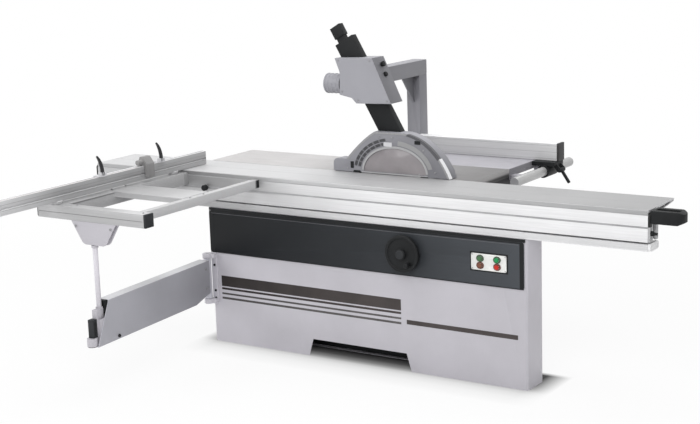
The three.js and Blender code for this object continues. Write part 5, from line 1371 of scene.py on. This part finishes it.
BEAM_SIDE = 0.03
BEAM_STRIP = ((0.032, -0.0285), (0.846, 0.0285))
BEAM_STRIP_CORNER = 0.004
BEAM_STRIP_FACES = (0.44, 0.4406)
HINGE_BOLT_RADIUS = 0.0065
CLAMP_BOLT_RADIUS = 0.008
HINGE_BOLT_PLACES = ((0.06, 0.30), (0.06, 0.40))
CLAMP_BOLT_PLACES = ((0.79, 0.252),)
PIN_HEADS = ((0.2335, 0.2375), (0.4401, 0.4455))
FOOT_PAD = ((0, 0.2385), (0.021, 0.2385), (0.0225, 0.2407), (0.0225, 0.2419), (0, 0.2419))
FOOT_AXIS = (0.95, 0.0)
STRUT_AXIS = (0.885, 0.0)
COLLAR_RADII = (0.0122, 0.0165)
COLLAR_HEIGHTS = ((0.4053, 0.4125), (0.693, 0.7035))
PIN_RADII = (0.0125, 0.010)
PIN_CHAMFER = 0.001
END_PAD = ((0.9335, 0.29), (0.9475, 0.356))
END_PAD_CORNER = 0.002
END_PAD_FACES = (0.0152, 0.0162)
TOP_STOP = ((0.852, -0.024, 0.3625), (0.8725, 0.024, 0.441))
HINGE_SCREWS = [(-0.872, z, -0.3885) for z in (0.232, 0.272, 0.406, 0.446)]
STRUT_BRACKET_SCREWS = [(-0.93, 0.79, -1.312), (-0.72, 0.79, -1.312)]


class OBJECT_OT_panel_saw_arm_trim(SawStep, bpy.types.Operator):
    """Cover strip, bolts, pins, collars and stops of the swinging arm"""

    bl_idname = "object.panel_saw_arm_trim"
    bl_label = "Swinging arm trim"

    def arm_piece(self, form, name, body, slot, tone=None, rounding=0.0):
        """A piece that was drawn along and across the arm."""
        form.turn(arm_frame()).piece(name, body, slot, tone, rounding)

    def beam_screws(self, name, places, radius, tone):
        """Screws on both sides of the beam."""
        form = Form()
        for side in (-1, 1):
            for place in places:
                cap_screw(form, "y", place, side * BEAM_SIDE, radius, side)
        self.arm_piece(form, name, "swing_arm", "steel", tone)

    def execute(self, context):
        form = Form().plate(*BEAM_STRIP, BEAM_STRIP_CORNER, "z", *BEAM_STRIP_FACES)
        self.arm_piece(form, "beam_top_strip", "swing_arm", "light_paint", "pale_edge", 0.0002)
        self.beam_screws("beam_bolts", HINGE_BOLT_PLACES, HINGE_BOLT_RADIUS, "fastener")
        self.beam_screws("beam_clamp_bolts", CLAMP_BOLT_PLACES, CLAMP_BOLT_RADIUS, "dark_fastener")
        form = Form()
        wide, top = PIN_RADII
        for low, high in PIN_HEADS:
            form.turned(
                ((0, low), (wide, low), (wide, high - PIN_CHAMFER), (top, high), (0, high)),
                "z", (0.0, 0.0),
            )
        self.arm_piece(form, "hinge_pin_heads", "frame", "steel", "fastener")
        form = Form().turned(FOOT_PAD, "z", FOOT_AXIS)
        self.arm_piece(form, "foot_pad", "telescope", "black_plastic", None, 0.0004)
        form = Form()
        for low, high in COLLAR_HEIGHTS:
            form.ring(*COLLAR_RADII, low, high, "z", STRUT_AXIS)
        self.arm_piece(
            form, "strut_collars", "telescope", "light_paint", "inner_beam_paint", 0.0005
        )
        form = Form().plate(*END_PAD, END_PAD_CORNER, "y", *END_PAD_FACES)
        self.arm_piece(form, "end_block_pad", "telescope", "black_plastic", None, 0.0002)
        form = Form().blocks(TOP_STOP)
        self.arm_piece(form, "telescope_top_stop", "telescope", "black_plastic", None, 0.001)
        screws("hinge_bracket_screws", "frame", "y", -1, HINGE_SCREWS, 1.2, "dark_fastener")
        screws("strut_bracket_screws", "carriage", "y", -1, STRUT_BRACKET_SCREWS, 1.2)
        return {"FINISHED"}


HOOD_CENTRE = (0.03, 0.888)
HOOD_CURVES = (
    ((0.349, 0.888), (0.262, 1.077), (0.096, 1.097)),
    ((-0.070, 1.097), (-0.147, 1.054), (-0.240, 0.951)),
)
HOOD_CURVE_STEPS = 14
WINDOW_CENTRE = (0.04, 0.896)
RIM_BAND = ((0.1775, 0.1225), (0.1885, 0.1335))
OUTER_ARC = ((0.1925, 0.1385), (0.2165, 0.1615))
SLOT_RIB = ((0.2125, 0.1545), (0.2175, 0.1590))
WINDOW_SILL = ((-0.149, 0.889), (0.226, 0.8945))
HOOD_CLIP = ((-0.018, 1.0265), (0.029, 1.0475))
HOOD_LATCHES = (((0.157, 1.046), (0.189, 1.0635)), ((-0.214, 0.907), (-0.196, 0.940)))
HOOD_SHOES = (
    ((-0.200, 0.8858), (-0.152, 0.8858), (-0.160, 0.8975), (-0.197, 0.8975)),
    ((0.184, 0.8858), (0.232, 0.8858), (0.225, 0.8905), (0.190, 0.8905)),
)
# Shares of the hood's outline between which its edge bead runs
EDGE_BEAD = (0.985, 0.955)
# Which points of the hood's curve the painted highlight strip at the tip and the painted shade
# strip at the shoulder follow
TIP_POINTS = slice(0, 5)
SHOULDER_POINTS = slice(4, 14)
# How far each of these strips reaches out of the curve and in from it, along x and up
TIP_SHIFTS = ((0.0012, 0.0008), (-0.0025, -0.0012))
TIP_DEPTHS = (-0.0915, -0.068)
SHOULDER_SHIFTS = ((0.0006, 0.0006), (-0.012, -0.009))
SHOULDER_DEPTHS = (-0.0913, -0.074)
# How deep the thin pieces reach into the hood's face
HOOD_OVERLAP = 0.0002
# Dark dust slots on the hood's face, painted shade: their inner and outer radii, starting angles
# and turn
SLOT_INNER = (0.1965, 0.1405)
SLOT_OUTER = (0.2345, 0.1735)
SLOT_STARTS = (103, 113, 123, 133, 143, 153, 163)
SLOT_TURN = 7.5
HOOD_SCREWS = (
    (-0.232, 0.905), (0.18, 0.899), (0.268, 0.915), (0.205, 1.018), (0.03, 1.072),
    (-0.044, 1.072),
)


def hood_curve():
    """The hood's upper outline from the infeed tip over the collar to the brow."""
    made = []
    for start, pull, end in HOOD_CURVES:
        for i in range(HOOD_CURVE_STEPS + 1):
            t = i / HOOD_CURVE_STEPS
            made.append(
                tuple(
                    (1 - t) ** 2 * a + 2 * t * (1 - t) * b + t * t * c
                    for a, b, c in zip(start, pull, end)
                )
            )
    return made


def window_band(inner, outer, start, end, steps=24):
    """Outline of a band around the hood's window."""
    return arc_band(WINDOW_CENTRE, inner, outer, start, end, steps)


def edge_strip(points, outward, inward):
    """Outline of a strip that follows points of the hood's curve."""
    return shifted(points, *outward) + shifted(points[::-1], *inward)


class OBJECT_OT_panel_saw_hood_trim(SawStep, bpy.types.Operator):
    """Window rim, dust slots and the band behind them as dark plates of painted shade, feet, a
    painted highlight strip along the tip and a painted shade strip along the shoulder of the hood
    """

    bl_idname = "object.panel_saw_hood_trim"
    bl_label = "Hood trim"

    def hood_piece(self, name, slot, tone, outlines, proud, rounding=0.0003):
        """Thin outlines on the hood's face."""
        form = Form()
        for outline in outlines:
            form.prism(outline, "y", HOOD_FACE - proud, HOOD_FACE + HOOD_OVERLAP)
        form.piece(name, "guard", slot, tone, rounding)

    def execute(self, context):
        curve = hood_curve()
        outer, inner = (scaled_outline(curve, HOOD_CENTRE, share) for share in EDGE_BEAD)
        slots = [
            window_band(SLOT_INNER, SLOT_OUTER, start, start + SLOT_TURN, 4)
            for start in SLOT_STARTS
        ]
        # Name, slot, finish, outlines, how far they stand proud, rounding
        rows = (
            ("window_rim", "aluminium", "rim_paint",
             [window_band(*RIM_BAND, 3, 177, 44)], 0.0022, 0.0006),
            ("window_outer_arc", "aluminium", "arc_paint",
             [window_band(*OUTER_ARC, 12, 84)], 0.0012),
            ("window_sill", "aluminium", "rim_paint",
             [rounded(*WINDOW_SILL, 0.002)], 0.0022),
            # Dark plates of painted shade: the band behind the dust slots, then the slots
            ("dust_slot_back", "grey_paint", "slot_back",
             [window_band(SLOT_INNER, SLOT_OUTER, 102, 172)], 0.0003, 0.0),
            ("dust_slots", "black_plastic", "slot_shade", slots, 0.0006, 0.0),
            ("slot_rib", "grey_paint", "hood_paint",
             [window_band(*SLOT_RIB, 101, 172)], 0.0016),
            ("hood_edge_bead", "grey_paint", "arc_paint", [outer + inner[::-1]], 0.0012),
            ("hood_clip", "white_plastic", "pale_edge",
             [rounded(*HOOD_CLIP, 0.004)], 0.0035, 0.0006),
            ("hood_latch", "black_plastic", None,
             [rounded(*latch, 0.003) for latch in HOOD_LATCHES], 0.003, 0.0006),
            ("hood_shoes", "black_plastic", None, HOOD_SHOES, 0.0024, 0.0004),
        )
        for row in rows:
            self.hood_piece(*row)
        screws("hood_screws", "guard", "y", -1, seated(HOOD_SCREWS, HOOD_FACE), 0.84)
        # A bright strip along the tip is a painted highlight, a dark strip along the shoulder
        # painted shade
        form = Form().prism(edge_strip(curve[TIP_POINTS], *TIP_SHIFTS), "y", *TIP_DEPTHS)
        form.piece("tip_highlight_strip", "guard", "aluminium", "tip_metal", 0.0004)
        strip = edge_strip(curve[SHOULDER_POINTS], *SHOULDER_SHIFTS)
        form = Form().prism(strip, "y", *SHOULDER_DEPTHS)
        form.piece("shoulder_shade_strip", "guard", "dark_paint", "shoulder_paint")
        return {"FINISHED"}


HOUSING_OUTLINE = (
    (-0.062, 1.459), (-0.277, 1.453), (-0.250, 1.385), (-0.254, 1.274), (-0.184, 1.260),
    (-0.157, 1.234), (0.041, 1.240),
)
HOUSING_CENTRE = (-0.12, 1.35)
COVER_SHARE = 0.972
COVER_THICKNESS = 0.0009
COVER_SCREWS = (
    (-0.258, 1.441), (-0.075, 1.445), (0.018, 1.252), (-0.145, 1.250), (-0.238, 1.290),
)
CLAMP_DEPTH = -0.054
CLAMP_SLOT = ((0.016, -0.006, 0.0), (0.062, 0.006, 0.0006))
CLAMP_NUT_PLACE = (0.050, 0.0)
CLAMP_NUT = ((0, 0.0006), (0.012, 0.0006), (0.012, 0.012), (0.009, 0.015), (0, 0.015))
PORT_AXIS = (-0.055, 1.322)
PORT_SEAL = (0.0485, 0.0512, -0.2605, -0.2545)
PORT_LIP = (0.0457, 0.0506, -0.3535, -0.3465)
PORT_RING_RADII = (0.0485, 0.0502)
PORT_RING_PLACES = (-0.282, -0.306, -0.330)
PORT_RING_HALF = 0.0022
GUSSET_OUTLINE = ((0.559, 1.2796), (0.6742, 1.1345), (0.6742, 1.2796))
GUSSET_SIDES = ((-0.3006, -0.2999), (-0.2901, -0.2894))
OVERARM_END = ((-0.3335, 1.2825), (-0.2565, 1.3595))
OVERARM_END_CORNER = 0.006
OVERARM_END_FACES = (0.7552, 0.7582)
POST_BOLTS = ((0.69, 0.78), (0.74, 0.78), (0.69, 0.81), (0.74, 0.81))
FLANGE_BOLTS = ((-0.235, 1.30), (-0.235, 1.342), (-0.105, 1.30), (-0.105, 1.342))


class OBJECT_OT_panel_saw_overarm_trim(SawStep, bpy.types.Operator):
    """Cover and port rings of the guard housing, plates and caps of the overarm"""

    bl_idname = "object.panel_saw_overarm_trim"
    bl_label = "Overarm trim"

    def execute(self, context):
        cover = HOUSING_FACE - COVER_THICKNESS
        outline = scaled_outline(HOUSING_OUTLINE, HOUSING_CENTRE, COVER_SHARE)
        form = Form().prism(outline, "y", cover, HOUSING_FACE)
        form.piece("housing_cover", "frame", "grey_paint", "cover_paint", 0.0004)
        screws("housing_cover_screws", "frame", "y", -1, seated(COVER_SCREWS, cover), 0.84)
        lean = lean_frame(CLAMP_DEPTH)
        Form().blocks(CLAMP_SLOT).turn(lean).piece("clamp_slot", "frame", "black_plastic")
        form = Form().turned(CLAMP_NUT, "z", CLAMP_NUT_PLACE, 24).turn(lean)
        form.piece("clamp_nut", "frame", "black_plastic", rounding=0.0006)
        form = Form().ring(*PORT_SEAL, "x", PORT_AXIS)
        form.piece("port_seal", "frame", "black_plastic", rounding=0.0005)
        form = Form()
        for x in PORT_RING_PLACES:
            low, high = x - PORT_RING_HALF, x + PORT_RING_HALF
            form.ring(*PORT_RING_RADII, low, high, "x", PORT_AXIS)
        form.ring(*PORT_LIP, "x", PORT_AXIS)
        form.piece("port_rings", "frame", "grey_paint", "cover_paint", 0.0006)
        form = Form()
        for low, high in GUSSET_SIDES:
            form.prism(GUSSET_OUTLINE, "x", low, high)
        form.piece("gusset_plates", "frame", "grey_paint", "gusset_paint")
        form = Form().plate(*OVERARM_END, OVERARM_END_CORNER, "y", *OVERARM_END_FACES)
        form.piece("overarm_end_cap", "frame", "black_plastic", rounding=0.0008)
        screws("overarm_bolts", "frame", "x", 1, seated(POST_BOLTS, -0.255), 1.4)
        screws("flange_bolts", "frame", "y", 1, seated(FLANGE_BOLTS, 0.0083), 1.2)
        return {"FINISHED"}


RIP_LINE_HEIGHTS = (0.8965, 0.9295, 0.9625)
RIP_LINE_ENDS = (-0.2245, 0.5945)
RIP_LINE_DEPTHS = (0.5796, 0.5801)
RIP_LINE_HALF = 0.0006
RIP_CAP = ((0.5805, 0.8865), (0.6375, 0.9725))
RIP_CAP_CORNER = 0.003
RIP_CAP_FACES = (-0.2267, -0.2251)
GUIDE_BAR = (0.545, 0.838)
GUIDE_CAP_RADII = (0.0225, 0.0235)
GUIDE_BAR_ENDS = ((0.1985, 0.2001), (0.8399, 0.8415))
GUIDE_SCALE_MARKS = 60
GUIDE_SCALE_START = 0.21
GUIDE_SCALE_STEP = 0.005
GUIDE_SCALE_RADII = ((0.0241, 0.0241), (0.02425, 0.02425))
GUIDE_MARK_WIDTH = 0.0007
GUIDE_MARK_END = 100
# Degrees that the marks take: the tenth, the second and the others
GUIDE_MARK_TURNS = (24, 16, 10)
EXTENSION_SCREWS = ((0.33, 0.838), (0.61, 0.838))
EXTENSION_SEAT = 0.4764


class OBJECT_OT_panel_saw_rip_trim(SawStep, bpy.types.Operator):
    """Lines of the rip fence, scale and caps of its guide bar"""

    bl_idname = "object.panel_saw_rip_trim"
    bl_label = "Rip fence trim"

    def execute(self, context):
        form = Form()
        (left, right), (front, back) = RIP_LINE_ENDS, RIP_LINE_DEPTHS
        for z in RIP_LINE_HEIGHTS:
            form.blocks(((left, front, z - RIP_LINE_HALF), (right, back, z + RIP_LINE_HALF)))
        form.piece("rip_fence_lines", "rip_bar", "aluminium", "top_line")
        form = Form().plate(*RIP_CAP, RIP_CAP_CORNER, "x", *RIP_CAP_FACES)
        form.piece("rip_fence_outfeed_cap", "rip_bar", "dark_plastic", rounding=0.0004)
        form = Form()
        rim, belly = GUIDE_CAP_RADII
        for low, high in GUIDE_BAR_ENDS:
            form.turned(
                ((0, low), (rim, low), (belly, (low + high) / 2), (rim, high), (0, high)),
                "y", GUIDE_BAR,
            )
        form.piece("guide_bar_caps", "frame", "grey_plastic", rounding=0.0003)
        form = Form()
        tenth, second, other = GUIDE_MARK_TURNS
        for i in range(GUIDE_SCALE_MARKS):
            y = GUIDE_SCALE_START + GUIDE_SCALE_STEP * i
            turn = tenth if i % 10 == 0 else second if i % 2 == 0 else other
            start = GUIDE_MARK_END - turn
            outline = arc_band(GUIDE_BAR, *GUIDE_SCALE_RADII, start, GUIDE_MARK_END, 4)
            form.prism(outline, "y", y, y + GUIDE_MARK_WIDTH)
        form.piece("guide_bar_scale", "frame", "black_plastic")
        places = seated(EXTENSION_SCREWS, EXTENSION_SEAT)
        screws("extension_table_screws", "frame", "x", 1, places, 1.2)
        return {"FINISHED"}


# One row of louvres: axis, face, way out, left, right, lowest, count, pitch
LOUVRE_ROWS = (
    ("y", CABINET_BACK + 0.0022, 1, 0.08, 0.34, 0.47, 8, 0.016),
    ("x", 0.46, 1, -0.05, 0.21, 0.30, 9, 0.018),
    ("x", -0.70, -1, -0.05, 0.21, 0.30, 9, 0.018),
)
HINGE_HEIGHTS = (0.255, 0.535)
HINGE_LENGTH = 0.05
HINGE_KNUCKLE = (0.421, CABINET_BACK + 0.006)
LATCH_DISC = (
    (0, CABINET_BACK + 0.002), (0.019, CABINET_BACK + 0.002), (0.019, CABINET_BACK + 0.008),
    (0.016, CABINET_BACK + 0.011), (0, CABINET_BACK + 0.011),
)
BACK_SCREWS = [(x, z) for x in (-0.68, -0.1, 0.44) for z in (0.03, 0.82)]
SIDE_SCREWS = [(y, z) for y in (-0.20, 0.35) for z in (0.04, 0.80)]
DUST_PORT = (-0.38, 0.25)
DUST_RINGS = ((0.0595, 0.0625, 0.4405, 0.4455), (0.0595, 0.070, 0.3798, 0.3835))
HINGE_LEAF = (0.396, 0.419)
HINGE_THICKNESS = 0.0035
HINGE_PIN = 0.007
LATCH_PLACE = (0.035, 0.40)
LATCH_GRIP = ((0.029, 0.372), (0.041, 0.428))
LATCH_CORNER = 0.005
LATCH_FACES = (CABINET_BACK + 0.0105, CABINET_BACK + 0.021)
DOOR_PRESSING = ((0.10, 0.235), (0.32, 0.345))
DOOR_CORNER = 0.008
DOOR_FACES = (CABINET_BACK + 0.0018, CABINET_BACK + 0.0032)
# A louvre's section: how far out of the face, and how far up, in metres
LOUVRE_SECTION = ((0, 0), (0.006, -0.006), (0.0068, -0.005), (0.001, 0.0035), (0, 0.0035))


class OBJECT_OT_panel_saw_rear_trim(SawStep, bpy.types.Operator):
    """Louvres, door furniture and fixings of the rear cabinet"""

    bl_idname = "object.panel_saw_rear_trim"
    bl_label = "Rear cabinet trim"

    def louvres(self, form, axis, face, out, left, right, low, count, pitch):
        """Louvres that lean out of a face."""
        for i in range(count):
            z = low + i * pitch
            section = [(face + out * proud, z + up) for proud, up in LOUVRE_SECTION]
            form.prism(section, "y" if axis == "x" else "x", left, right)

    def execute(self, context):
        form = Form()
        for row in LOUVRE_ROWS:
            self.louvres(form, *row)
        form.piece("cabinet_louvres", "frame", "light_paint", rounding=0.0003)
        form = Form()
        left, right = HINGE_LEAF
        leaf_face = CABINET_BACK + HINGE_THICKNESS
        for z in HINGE_HEIGHTS:
            top = z + HINGE_LENGTH
            pin = ((0, z), (HINGE_PIN, z), (HINGE_PIN, top), (0, top))
            form.turned(pin, "z", HINGE_KNUCKLE, 20)
            form.blocks(((left, CABINET_BACK, z), (right, leaf_face, top)))
        form.piece("door_hinges", "frame", "steel", "fastener", 0.0006)
        form = Form().turned(LATCH_DISC, "y", LATCH_PLACE)
        form.plate(*LATCH_GRIP, LATCH_CORNER, "y", *LATCH_FACES)
        form.piece("door_latch", "frame", "black_plastic", rounding=0.0012)
        screws("cabinet_back_screws", "frame", "y", 1, seated(BACK_SCREWS, CABINET_BACK), 1.2)
        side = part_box("rear_cabinet")[1][0]
        screws("cabinet_side_screws", "frame", "x", 1, seated(SIDE_SCREWS, side), 1.2)
        form = Form()
        for row in DUST_RINGS:
            form.ring(*row, "y", DUST_PORT)
        form.piece("dust_port_rings", "frame", "light_paint", rounding=0.0006)
        form = Form().plate(*DOOR_PRESSING, DOOR_CORNER, "y", *DOOR_FACES)
        form.piece("door_pressing", "frame", "light_paint", rounding=0.0006)
        return {"FINISHED"}


STEPS = (
    SCENE_OT_panel_saw_stage,
    OBJECT_OT_panel_saw_finishes,
    OBJECT_OT_panel_saw_housing_trim,
    OBJECT_OT_panel_saw_control_trim,
    OBJECT_OT_panel_saw_table_trim,
    OBJECT_OT_panel_saw_outrigger_trim,
    OBJECT_OT_panel_saw_crosscut_trim,
    OBJECT_OT_panel_saw_arm_trim,
    OBJECT_OT_panel_saw_hood_trim,
    OBJECT_OT_panel_saw_overarm_trim,
    OBJECT_OT_panel_saw_rip_trim,
    OBJECT_OT_panel_saw_rear_trim,
)


class VIEW3D_PT_panel_saw(bpy.types.Panel):
    """Lists the saw's sizes, colours and steps"""

    bl_idname = "VIEW3D_PT_panel_saw"
    bl_label = "Panel saw"
    bl_space_type = "VIEW_3D"
    bl_region_type = "UI"
    bl_category = "Panel saw"

    def draw(self, context):
        for group in (context.scene.panel_saw_sizes, context.scene.panel_saw_colours):
            box = self.layout.box()
            for name in group.__annotations__:
                box.prop(group, name)
        for step in STEPS:
            self.layout.operator(step.bl_idname)


CLASSES = (PanelSawSizes, PanelSawColours, *STEPS, VIEW3D_PT_panel_saw)


def register():
    """Adds the classes and the scene's settings."""
    for made in CLASSES:
        bpy.utils.register_class(made)
    bpy.types.Scene.panel_saw_sizes = bpy.props.PointerProperty(type=PanelSawSizes)
    bpy.types.Scene.panel_saw_colours = bpy.props.PointerProperty(type=PanelSawColours)


def unregister():
    """Takes them away again."""
    del bpy.types.Scene.panel_saw_colours
    del bpy.types.Scene.panel_saw_sizes
    for made in reversed(CLASSES):
        bpy.utils.unregister_class(made)


def main():
    """Dresses the saw."""
    register()
    for step in STEPS:
        group, name = step.bl_idname.split(".")
        getattr(getattr(bpy.ops, group), name)()


if __name__ == "__main__":
    main()
